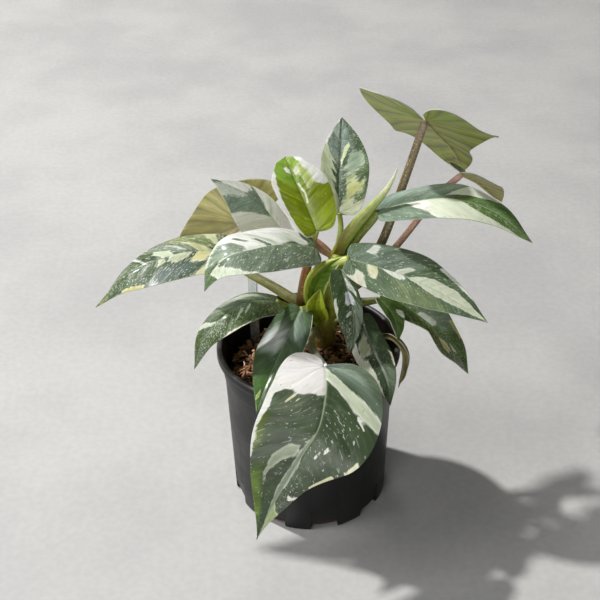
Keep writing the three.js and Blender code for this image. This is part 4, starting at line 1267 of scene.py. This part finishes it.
# %% The two long leaves on the right
make_leaf(
    "leaf_right_up", columns=40,
    rib=[(57, 32, 251), (78, 32, 258), (112, 26, 265), (146, 14, 259), (174, -2, 240)],
    up=(0, 0, 1), right=Half(22, 0.46, 0.01, 0.4, -8, -8), left=Half(26, 0.4, 0.04, 0.4, 0, 0),
    green="#56693f", flecks=0.6, midrib=0.6,
    marks=[
        green(RIGHT, "#718470", *band(0, 0.42, 0, 1.1)),
        green(LEFT, "#68796a", *band(0.1, 0.62, 0, 1.1)),
        # A lighter grey-green band out towards the left margin is painted light, where that half curls away
        # from the lamps.
        green(LEFT, "#93a497", *band(0.28, 0.55, 0.5, 1.1), soft=8),
        green(RIGHT, "#5f7a40", *band(0.64, 1, 0, 1.1)),
        green(LEFT, "#66844a", *band(0.68, 1, 0, 1.1)),
        pale(RIGHT, "#d6ddc6", (0.39, 1.1), (0.41, 0.3), (0.42, -0.1), (0.66, -0.1), (0.68, 0.3),
            (0.7, 0.55), (0.75, 0.7), (0.9, 0.95), (0.9, 1.1), soft=2),
        pale(RIGHT, PINKISH, (0.4, 0.66), (0.42, -0.1), (0.54, -0.1), (0.5, 0.2), soft=1.8),
        pale(LEFT, "#dde5d2", (0.59, 0.22), (0.53, 1.1), (0.74, 1.1), (0.7, 0.62), soft=2),
        flecked(RIGHT, 1.0, *band(0.68, 0.9, 0, 0.6)),
        flecked(RIGHT, 0.2, (0.44, 0), (0.42, 0.8), (0.66, 0.8), (0.64, 0), soft=4),
    ],
)
make_leaf(
    "leaf_right", columns=44,
    rib=[(33, 4, 225), (54, -2, 221), (80, -10, 215), (110, -20, 203), (139, -32, 187)],
    up=(0, -0.3, 0.95), right=Half(23, 0.36, 0.02, 0.35, -4, -4), left=Half(27, 0.4, 0.03, 0.35, 0, 0),
    green="#62755a", flecks=0.65, midrib=0.5,
    marks=[
        green(RIGHT, "#7d8d68", (0.5, 0.3), (0.44, 1.1), (0.8, 1.1), (0.7, 0.3), soft=5),
        green(LEFT, "#708070", (0.3, 0), (0.3, 0.9), (0.6, 0.6), (0.6, 0), soft=5),
        green(LEFT, "#566d48", (0.6, 0.62), (0.6, 0.9), (0.9, 0.85), (0.9, 0.6)),
        pale(RIGHT, "#e6e4cc", (0.21, 1.1), (0.24, 1), (0.3, 0.7), (0.35, 0.34), (0.375, 0.36),
            (0.365, 0.6), (0.335, 1), (0.33, 1.1), soft=1.8),
        pale(RIGHT, CREAM, (0.395, 0.5), (0.405, 0.5), (0.45, 0.2), (0.465, 0.02), (0.46, -0.05),
            (0.42, -0.05), (0.41, 0.1), soft=1.6),
        pale(RIGHT, WHITE, (0.49, -0.05), (0.49, 0.03), (0.52, 0.16), (0.57, 0.24), (0.61, 0.12),
            (0.6, -0.05), soft=2),
        pale(RIGHT, "#dbe2c8", (0.62, -0.1), (0.62, 0.02), (0.66, 0.18), (0.72, 0.35), (0.82, 0.48),
            (0.9, 0.55), (1, 0.6), (1, -0.1), soft=2.6),
        # The pale streak near the foot of the left half is a painted highlight.
        pale(LEFT, "#d3d9cc", (0.4, 0.36), (0.35, 0.5), (0.32, 0.86), (0.335, 0.88), (0.375, 0.55),
            soft=2.4),
        pale(LEFT, MINT, (0.56, 0.03), (0.57, 0.38), (0.6, 0.36), (0.6, 0.03), soft=2),
        pale(LEFT, "#dbe2c8", (0.63, -0.1), (0.64, 0.08), (0.67, 0.32), (0.7, 0.46), (0.78, 0.56),
            (0.88, 0.6), (0.97, 0.5), (1, -0.1), soft=2.6),
        pale(LEFT, WHITE, (0.6, 0.9), (0.62, 1.1), (0.86, 1.1), (0.84, 0.9), (0.7, 0.87), soft=1.8),
    ],
)

# %% [markdown]
# Five smaller leaves hang below: three on the right, of which a narrow olive one is folded along its midrib,
# and two in the middle, in front of the crown.

# %% The lower leaves on the right
make_leaf(
    "leaf_right_low", columns=40,
    rib=[(68, 25, 175), (88, 20, 162), (109, 14, 145), (124, 8, 128), (133, 2, 111)],
    up=(0.6, -0.2, 0.75), right=Half(28, 0.45, 0.03, 0.2, 8, 8, [(0.42, 0.1, -0.6)]),
    left=Half(28, 0.4, 0.03, 0.3, 8, 8),
    green="#5f7a3e", flecks=0.9,
    # The tones of this leaf are painted lighter than its own: painted light where it lies in the shade of the
    # leaves above.
    marks=[
        green(RIGHT, "#7c8638", *band(0.42, 0.66, 0.3, 1)),
        green(LEFT, "#9cae98", (0.4, 0.15), (0.4, 1), (0.68, 1), (0.7, 0.15)),
        pale(RIGHT, "#efeca6", (0.66, 0.4), (0.67, 0.72), (0.73, 0.78), (0.77, 0.5), (0.74, 0.3),
            soft=2.4),
        pale(RIGHT, "#f2f2d6", (0.785, -0.05), (0.785, 0.25), (0.81, 0.38), (0.85, 0.2), (0.85, -0.05),
            soft=2),
        pale(LEFT, "#e0e8d8", (0.43, -0.05), (0.46, 0.15), (0.53, 0.2), (0.62, 0.3), (0.66, 0.15),
            (0.64, -0.05), soft=3),
        pale(LEFT, YELLOW, *band(0.62, 0.76, 0.82, 1.1), soft=2.4),
    ],
)
make_leaf(
    "leaf_under_right", rows=48, columns=24,
    rib=[(57, 4, 187), (65, -4, 181), (70, -10, 172), (72, -15, 158)],
    up=(0.5, -0.5, 0.7), right=Half(7, 0.4, 0.03, 0.2, 12, 12), left=Half(10, 0.4, 0.03, 0.2, 12, 12),
    curl=0, wave=(0.3, 2), green="#4f6a2e",
    marks=[
        pale(LEFT, GREYMINT, *band(0.5, 0.6, 0.5, 0.9), soft=3),
    ],
)
make_leaf(
    "leaf_thin_right", rows=48, columns=20, thick=0.65,
    rib=[(61, -2, 154), (69, -8, 155), (77, -14, 146), (77, -18, 131), (73, -20, 115)],
    up=(0.6, 0, 0.8), up_tip=(1, 0, 0.2), right=Half(4.5, 0.45, 0.02, 0.3, 50, 50),
    left=Half(4.5, 0.45, 0.02, 0.3, 50, 50),
    curl=0, wave=(0, 2), green="#5f5f30", flecks=0.1, relief=0.3, under=("#7c7444", 0.3),
    marks=[
        pale(LEFT, TAN, *band(0.4, 0.6, 0.2, 0.9), soft=3),
    ],
)

# %% The two leaves in the middle, in front of the crown
make_leaf(
    "leaf_centre", rows=64, columns=28,
    rib=[(27, -1, 217), (30, -13, 211), (34, -24, 199), (35, -32, 182), (31, -38, 164)],
    up=(0, -0.6, 0.8), right=Half(14, 0.42, 0.03, 0.35, 12, 12), left=Half(8, 0.42, 0.03, 0.35, 12, 12),
    wave=(0.4, 2), green="#3a4c2c", flecks=0.35,
    marks=[
        flecked(RIGHT, 0.9, *band(0.6, 0.95, 0, 1), soft=4),
        pale(RIGHT, "#b9c3b2", (0.4, 0.84), (0.4, 1.1), (0.66, 1.1), (0.5, 0.88), soft=1.6),
        # The two grey-lilac patches on either side of the midrib are a painted sheen.
        pale(RIGHT, "#a9adb4", (0.5, -0.05), (0.49, 0.22), (0.53, 0.34), (0.6, 0.26), (0.62, -0.05),
            soft=2.4),
        pale(LEFT, "#a9adb4", (0.5, -0.05), (0.5, 0.2), (0.54, 0.36), (0.6, 0.3), (0.62, -0.05),
            soft=2.4),
        pale(LEFT, "#8b938c", (0.4, 0.1), (0.4, 0.6), (0.44, 0.6), (0.46, 0.1), soft=2.4),
        pale(RIGHT, GREYMINT, (0.63, 0.5), (0.67, 0.08), (0.7, 0.08), (0.67, 0.54), soft=1.3),
    ],
)
make_leaf(
    "leaf_front_right", rows=64, columns=32,
    rib=[(42, -5, 175), (47, -22, 165), (55, -42, 156), (60, -58, 150), (62, -72, 138)],
    up=(0, -0.5, 0.85), right=Half(16, 0.42, 0.03, 0.3, 6, 6), left=Half(13, 0.42, 0.03, 0.3, 6, 6),
    wave=(0.5, 2), green="#3d4d33", flecks=0.45, midrib=0.1,
    marks=[
        pale(RIGHT, "#a9ae8e", (0.41, 0.06), (0.41, 0.6), (0.5, 0.7), (0.56, 0.5), (0.59, 0.06),
            soft=2.5),
        pale(RIGHT, "#d6dac0", (0.39, 0.68), (0.39, 1.1), (0.93, 1.1), (0.86, 0.84), (0.72, 0.58),
            (0.6, 0.5), (0.52, 0.7), soft=2.2),
        # The grey band on the left half is a painted sheen.
        green(LEFT, GREY, *band(0.7, 0.84, 0.45, 0.95)),
        pale(LEFT, CREAM, (0.48, 0.88), (0.48, 1.1), (0.64, 1.1), (0.62, 0.92), soft=1.6),
    ],
)

# %% [markdown]
# The two leaves at the top right lean away on long stalks, so the light shines on their far faces and we see
# their backs. Their green is yellower and their veins are brown.

# %% The two leaves that show their backs on the right
make_leaf(
    "leaf_top_right", rows=120, columns=56,
    rib=[(95, 70, 311), (111, 100, 283), (127, 126, 256), (140, 150, 222)],
    up=(0.35, 0.68, 0.55),
    right=Half(50, 0.3, 0.26, 0.5, 6, 4, [(0.34, 0.05, -0.07), (0.45, 0.05, 0.06), (0.7, 0.17, -0.55)]),
    left=Half(65, 0.28, 0.36, 0.3, 11, 4, [(0.4, 0.05, 0.05), (0.54, 0.09, -0.18)]),
    curl=0, wave=(4, 2.5), green=GREEN, under=("#919a42", 0.9), relief=1.3, sweep=0.5,
    marks=[
        green(RIGHT, "#3f5a24", *band(0.1, 0.34, 0.2, 1), soft=9),
        green(LEFT, "#4c6a2c", *band(0, 0.4, 0.1, 0.5), soft=9),
        green(RIGHT, "#6d5a34", (0, -0.1), (0, 0.16), (0.36, 0.1), (0.4, -0.1), soft=5),
    ],
)
make_leaf(
    "leaf_rear_right", columns=36,
    rib=[(126, 62, 267), (142, 84, 248), (158, 104, 226), (171, 120, 208)],
    up=(0.5, 0.5, 0.7), right=Half(19, 0.35, 0.12, 0.3, 15, 10), left=Half(22, 0.35, 0.04, 0.3, 15, 10),
    curl=0, green=GREEN, flecks=0.4, under=("#928e40", 0.8),
    marks=[
        pale(LEFT, CREAM, *band(0.5, 0.6, 0.3, 0.8), soft=4),
    ],
)

# %% [markdown]
# Each leaf is carried by a petiole, a fleshy stalk that is round behind and slightly grooved in front, and
# the whole plant grows from one short stem. A curve with a bevel would give a round tube; a grid rolled up
# into a tube lets us groove and flatten it, colour it along its length and give it rounded ends.

# %% The finish of the stalks
stalk_finish = Finish("petiole skin")
painted_tone, speckle = stalk_finish.painted("tone")
lengthwise, round_it = stalk_finish.chart("stalk")
strands = stalk_finish.point(stalk_finish.times(lengthwise, 6.0), stalk_finish.times(round_it, 26.0))
strands = stalk_finish.noise(strands, 1.0, 3.0, 0.6)
mottle = stalk_finish.noise(stalk_finish.place(), 260.0, 3.0, 0.6)
spots = stalk_finish.noise(stalk_finish.place(), 700.0, 1.0)
tone = stalk_finish.shade(painted_tone, stalk_finish.step(strands, 0.3, 0.7, 0.8, 1.2))
tone = stalk_finish.shade(tone, stalk_finish.step(mottle, 0.3, 0.7, 0.86, 1.14))
spotty = stalk_finish.times(stalk_finish.step(spots, 0.6, 0.68), speckle)
tone = stalk_finish.blend(spotty, tone, linear("#d8cda4"))
stalk_finish.raise_by(stalk_finish.plus(strands, mottle), 0.00025, 0.5)
stalk_finish.set(Base_Color=tone, Roughness=0.42, Subsurface_Weight=0.15,
                 Subsurface_Radius=(0.003, 0.002, 0.001), Subsurface_Scale=0.5, Coat_Weight=0.15,
                 Coat_Roughness=0.3)
print("stalk nodes:", len(stalk_finish.tree.nodes))

# %% Rounded ends, and the tones along a stalk
END_STEPS = {1: 0.006, 2: 0.02}
SHOULDER = 0.72
BLUSH = 0.85
MAP_LENGTH = 100


def stalk_shares(order, rows):
    """Where each ring lies along the stalk. The first and last rings crowd together to round the ends."""
    s = np.clip((order - 2) / (rows - 4), 0, 1)
    for ring, share in END_STEPS.items():
        s = np.where(order == ring, share, np.where(order == rows - ring, 1 - share, s))
    shoulder = np.where((order == 1) | (order == rows - 1), SHOULDER, 1.0)
    cap = np.where((order == 0) | (order == rows), 0.0, shoulder)
    return s, cap


def stalk_tones(s, turn, tones, blush, sharp, fade):
    """Tones from the crown to the blade, and a blush on the side where the turn is nought."""
    stops = np.linspace(0, 1, len(tones))
    tones = [linear(tone) for tone in tones]
    colour = np.c_[[np.interp(s, stops, [tone[k] for tone in tones]) for k in range(3)]].T
    if blush:
        lit = np.clip(np.cos(turn), 0, 1)[:, None] ** sharp * BLUSH * (1 - fade * s[:, None])
        colour = colour * (1 - lit) + np.array(linear(blush)[:3]) * lit
    return colour


print("the rings next to a stalk's end have", SHOULDER, "of its radius")

# %% Make one stalk
GROOVE_ANGLE = 0.55


def make_stalk(name, path, radii, tones, slot="petiole", face=(0, -0.6, 0.8), flat=0.86, groove=0.14,
               blush=None, sharp=1.5, fade=0.0, speckle=0.25, rows=44, sides=20, rings=(), step=0.0,
               twist=0.0):
    """A stalk along a path. Its groove and blush lie on the side that looks along `face`. The blush is narrow
    where sharp is high and weaker towards the blade by fade. Rings swell it, and a step winds round it."""
    deselect()
    bpy.ops.mesh.primitive_grid_add(x_subdivisions=rows, y_subdivisions=sides, size=2)
    piece = bpy.context.object
    piece.name = piece.data.name = "dressed_" + name
    sheet = corners(piece)
    order = np.round((sheet[:, 0] + 1) / 2 * rows).astype(int)
    s, cap = stalk_shares(order, rows)
    turn = sheet[:, 1] * math.pi
    line = Line(path)
    T = line.direction(s)
    N = np.array(face, float)
    N = unit(N - T * (T @ N)[:, None])
    S = np.cross(T, N)
    r = np.interp(s, np.linspace(0, 1, len(radii)), radii)
    for place, spread, amount in rings:
        r = r * (1 + amount * np.exp(-((s - place) / spread) ** 2))
    r = r * (1 - groove * np.exp(-(turn / GROOVE_ANGLE) ** 2))
    r = r * (1 - step * (((turn + twist * s) / (2 * math.pi)) % 1))
    s = np.where(order == 0, 0.0, np.where(order == rows, 1.0, s))
    outward = N * (flat * np.cos(turn))[:, None] + S * np.sin(turn)[:, None]
    move_corners(piece, line.place(s) + (r * cap)[:, None] * outward)
    colour = stalk_tones(s, turn, tones, blush, sharp, fade)
    paint(piece, "tone", np.c_[colour, np.full(len(s), speckle)])
    lay_map(piece, "stalk", s * line.length / MAP_LENGTH, (turn / math.pi + 1) / 2)
    weld(piece)
    piece.data.materials.append(stalk_finish.material)
    finish_piece(piece, name, 50)


print("a stalk's groove spans", round(math.degrees(2 * GROOVE_ANGLE)), "degrees")

# %% The petiole of a leaf
def make_petiole(leaf, path, radii, tones, **more):
    """The stalk of one leaf. Its path ends at the foot of the blade."""
    make_stalk("petiole_" + leaf, path + [blade_foot["leaf_" + leaf]], radii, tones, **more)


print("blades that wait for a petiole:", len(blade_foot))

# %% The stem
LIMESTALK, OLIVESTALK = "#9ba843", "#78803a"
BROWNSTALK, REDSTALK, PINKSTALK = "#80603a", "#96522f", "#c9998a"
# The stem is painted dark brown at its foot: partly its own older brown, partly painted shade where it stands
# low under the crown.
make_stalk(
    "stem", [(13, 28, 96), (14, 28, 130), (17, 27, 165), (22, 27, 196), (26, 28, 214)],
    [8, 8.5, 9.5, 8.5, 5.5], ["#4a3d20", "#85792f", "#9c9c38", "#9aa63c", LIMESTALK],
    slot="stem", groove=0, flat=0.95, rows=90, sides=36, speckle=0.15,
    rings=[(0.3, 0.012, 0.07), (0.47, 0.012, 0.08), (0.62, 0.012, 0.09), (0.78, 0.012, 0.1)])

# %% [markdown]
# The petioles differ: the lower ones are pale cream and olive, the upper left ones reddish, and the two long
# ones at the right brown-pink with tiny pale specks.

# %% The petioles on the left
# The front petiole's cream is painted nearly white: its own pale cream, lifted as painted light where the
# leaves shade it.
make_petiole(
    "front", [(12, 26, 132), (5, 18, 146), (1, 0, 148), (6, -28, 155)],
    [4.6, 3.6, 2.6], ["#d6d69a", "#f2efcc", "#faf7e2"], flat=0.75, groove=0.2)
make_petiole("front_left", [(14, 24, 160), (4, 14, 172)], [2.8, 2.2], [OLIVESTALK, LIMESTALK])
make_petiole(
    "left_low", [(12, 22, 156), (-6, 14, 166), (-15, 9, 177)],
    [2.6, 1.8], [REDSTALK, OLIVESTALK, LIMESTALK])
make_petiole(
    "left_up", [(12, 27, 152), (-4, 23, 166), (-3, 22, 190), (1, 19, 213)],
    [4.6, 4.2, 3], [OLIVESTALK, "#6f5a26", "#83512a", "#80552e"])
# This petiole's cream line along its top is painted nearly white: partly its own cream, partly painted light
# where little light reaches it.
make_petiole(
    "far_left", [(12, 34, 156), (-8, 30, 168), (-30, 26, 187), (-53, 21, 207)],
    [5.2, 4, 2.8], ["#aaa652", "#a2a54c", "#b0b260"], groove=0.25, blush="#fffbd0", sharp=4)
make_petiole(
    "up_left", [(20, 31, 188), (20, 38, 205), (12, 42, 215), (0, 46, 221)],
    [3, 2.2], [PINKSTALK, PINKSTALK, REDSTALK])
make_petiole(
    "rear_left", [(18, 36, 176), (6, 52, 196), (-20, 70, 208), (-46, 79, 212)],
    [3.6, 2.4], [OLIVESTALK, BROWNSTALK, REDSTALK])
make_petiole(
    "young", [(24, 30, 194), (22, 34, 207), (11, 33, 216), (6, 31, 225)],
    [3, 2.2], [LIMESTALK, PINKSTALK, LIMESTALK])

# %% The petioles at the top and on the right
make_petiole(
    "top", [(24, 32, 190), (23, 40, 203), (26, 44, 215), (28, 50, 226)],
    [3.2, 2], [OLIVESTALK, LIMESTALK])
make_petiole(
    "right_up", [(25, 31, 190), (31, 36, 206), (40, 36, 224), (51, 33, 241)],
    [4.4, 3.8, 3.2], [LIMESTALK, "#727d2a", "#6c782c"])
make_petiole(
    "right", [(12, 27, 158), (3, 20, 174), (3, 16, 196), (12, 10, 214)],
    [6, 5, 3], [LIMESTALK, "#8fa02f", "#a9b552"])
make_petiole(
    "right_low", [(16, 29, 150), (27, 26, 162), (44, 24, 168), (60, 24, 172)],
    [2.8, 2], [OLIVESTALK, OLIVESTALK])
make_petiole(
    "under_right", [(20, 25, 166), (30, 15, 180), (44, 7, 184)],
    [2.2, 1.6], [OLIVESTALK, OLIVESTALK])
make_petiole("centre", [(23, 22, 184), (26, 10, 204)], [2.4, 1.8], [LIMESTALK, OLIVESTALK])
make_petiole("front_right", [(18, 22, 152), (30, 8, 166)], [2.6, 1.8], [OLIVESTALK, OLIVESTALK])
make_petiole(
    "thin_right", [(18, 24, 144), (40, 12, 150)],
    [1.8, 1.3], [OLIVESTALK, TAN], rows=30, sides=14)
make_petiole(
    "top_right", [(24, 33, 176), (44, 42, 187), (62, 53, 210), (80, 66, 260)],
    [4.2, 3.6, 3.2], [OLIVESTALK, "#645528", "#6e6038", "#8a7860"], speckle=0.5)
make_petiole(
    "rear_right", [(26, 31, 170), (52, 38, 187), (78, 48, 215), (106, 60, 248)],
    [3.2, 2.8, 2.6], [OLIVESTALK, "#86644c", "#97705c", "#b98f80"], speckle=0.35)

# %% [markdown]
# At the crown, two sheaths clasp the stem, and the next leaf is still rolled up in a pointed spear. The
# spear is a stalk whose radius drops by a step at one turn, where the rolled margin lies on the leaf.

# %% The sheaths and the rolled leaf
make_leaf(
    "sheath_right", slot="sheath", rows=50, columns=20, thick=0.85,
    rib=[(4, 10, 181), (7, 5, 201), (15, 4, 214), (29, 6, 226)],
    up=(0.1, -0.85, 0.5), right=Half(9, 0.4, 0.02, 0.3, 25, 25), left=Half(9, 0.4, 0.02, 0.3, 25, 25),
    curl=0, wave=(0, 2), green="#567218", flecks=0.0, relief=0.4, pale="#8b9638", midrib=0.1,
    marks=[
        pale(LEFT, "#8f9436", (0, 0.7), (0, 1.1), (0.86, 1.1), (0.8, 0.86), (0.6, 0.7), soft=1),
        pale(RIGHT, "#8f7f38", *band(0, 0.3, 0.7, 1.1), soft=1.2),
        pale(RIGHT, "#b7c276", *band(0.28, 0.94, 0.85, 1.1), soft=0.8),
    ],
)
make_leaf(
    "sheath_crown", slot="sheath", rows=50, columns=20, thick=0.85,
    rib=[(11, 12, 160), (6, 5, 179), (10, 3, 198)],
    up=(0.1, -0.85, 0.5), right=Half(9, 0.5, 0.02, 0.1, 25, 25), left=Half(9, 0.5, 0.02, 0.1, 25, 25),
    curl=0, wave=(0, 2), green="#84911c", flecks=0.0, relief=0.4, pale="#a3ac48", midrib=0.1,
    marks=[
        pale(RIGHT, "#b3c436", *band(0, 1, 0.55, 1.1), soft=1.5),
        pale(LEFT, "#a9b64a", *band(0, 1, 0.8, 1.1), soft=1.6),
    ],
)
make_stalk(
    "new_leaf_spear", [(23, 29, 196), (24, 33, 210), (31, 32, 227), (41, 32, 242), (52, 33, 255),
        (61, 34, 266), (67, 35, 276), (71, 36, 287)],
    [4, 5.6, 5.6, 5, 3.6, 2.2, 0.5], ["#7f8c2c", "#83992f", "#a3b85c", "#e6e8c8"], slot="spear",
    face=(-0.5, -0.8, 0.1), blush="#6a2c10", sharp=5, fade=0.9, groove=0, step=0.16, twist=1.6, flat=1.0,
    speckle=0.05, rows=70, sides=32)

# %% [markdown]
# Last, the size of what is shown is set against the size of the solids, and the difference is printed.

# %% Compare the sizes and finish
shown_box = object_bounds()
grown = [round(max(abs(shown_box[e][k] - cad_box[e][k]) for e in (0, 1)) / MM, 1) for k in range(3)]
print("the visual model's box differs from the solids' box by at most", grown, "mm")
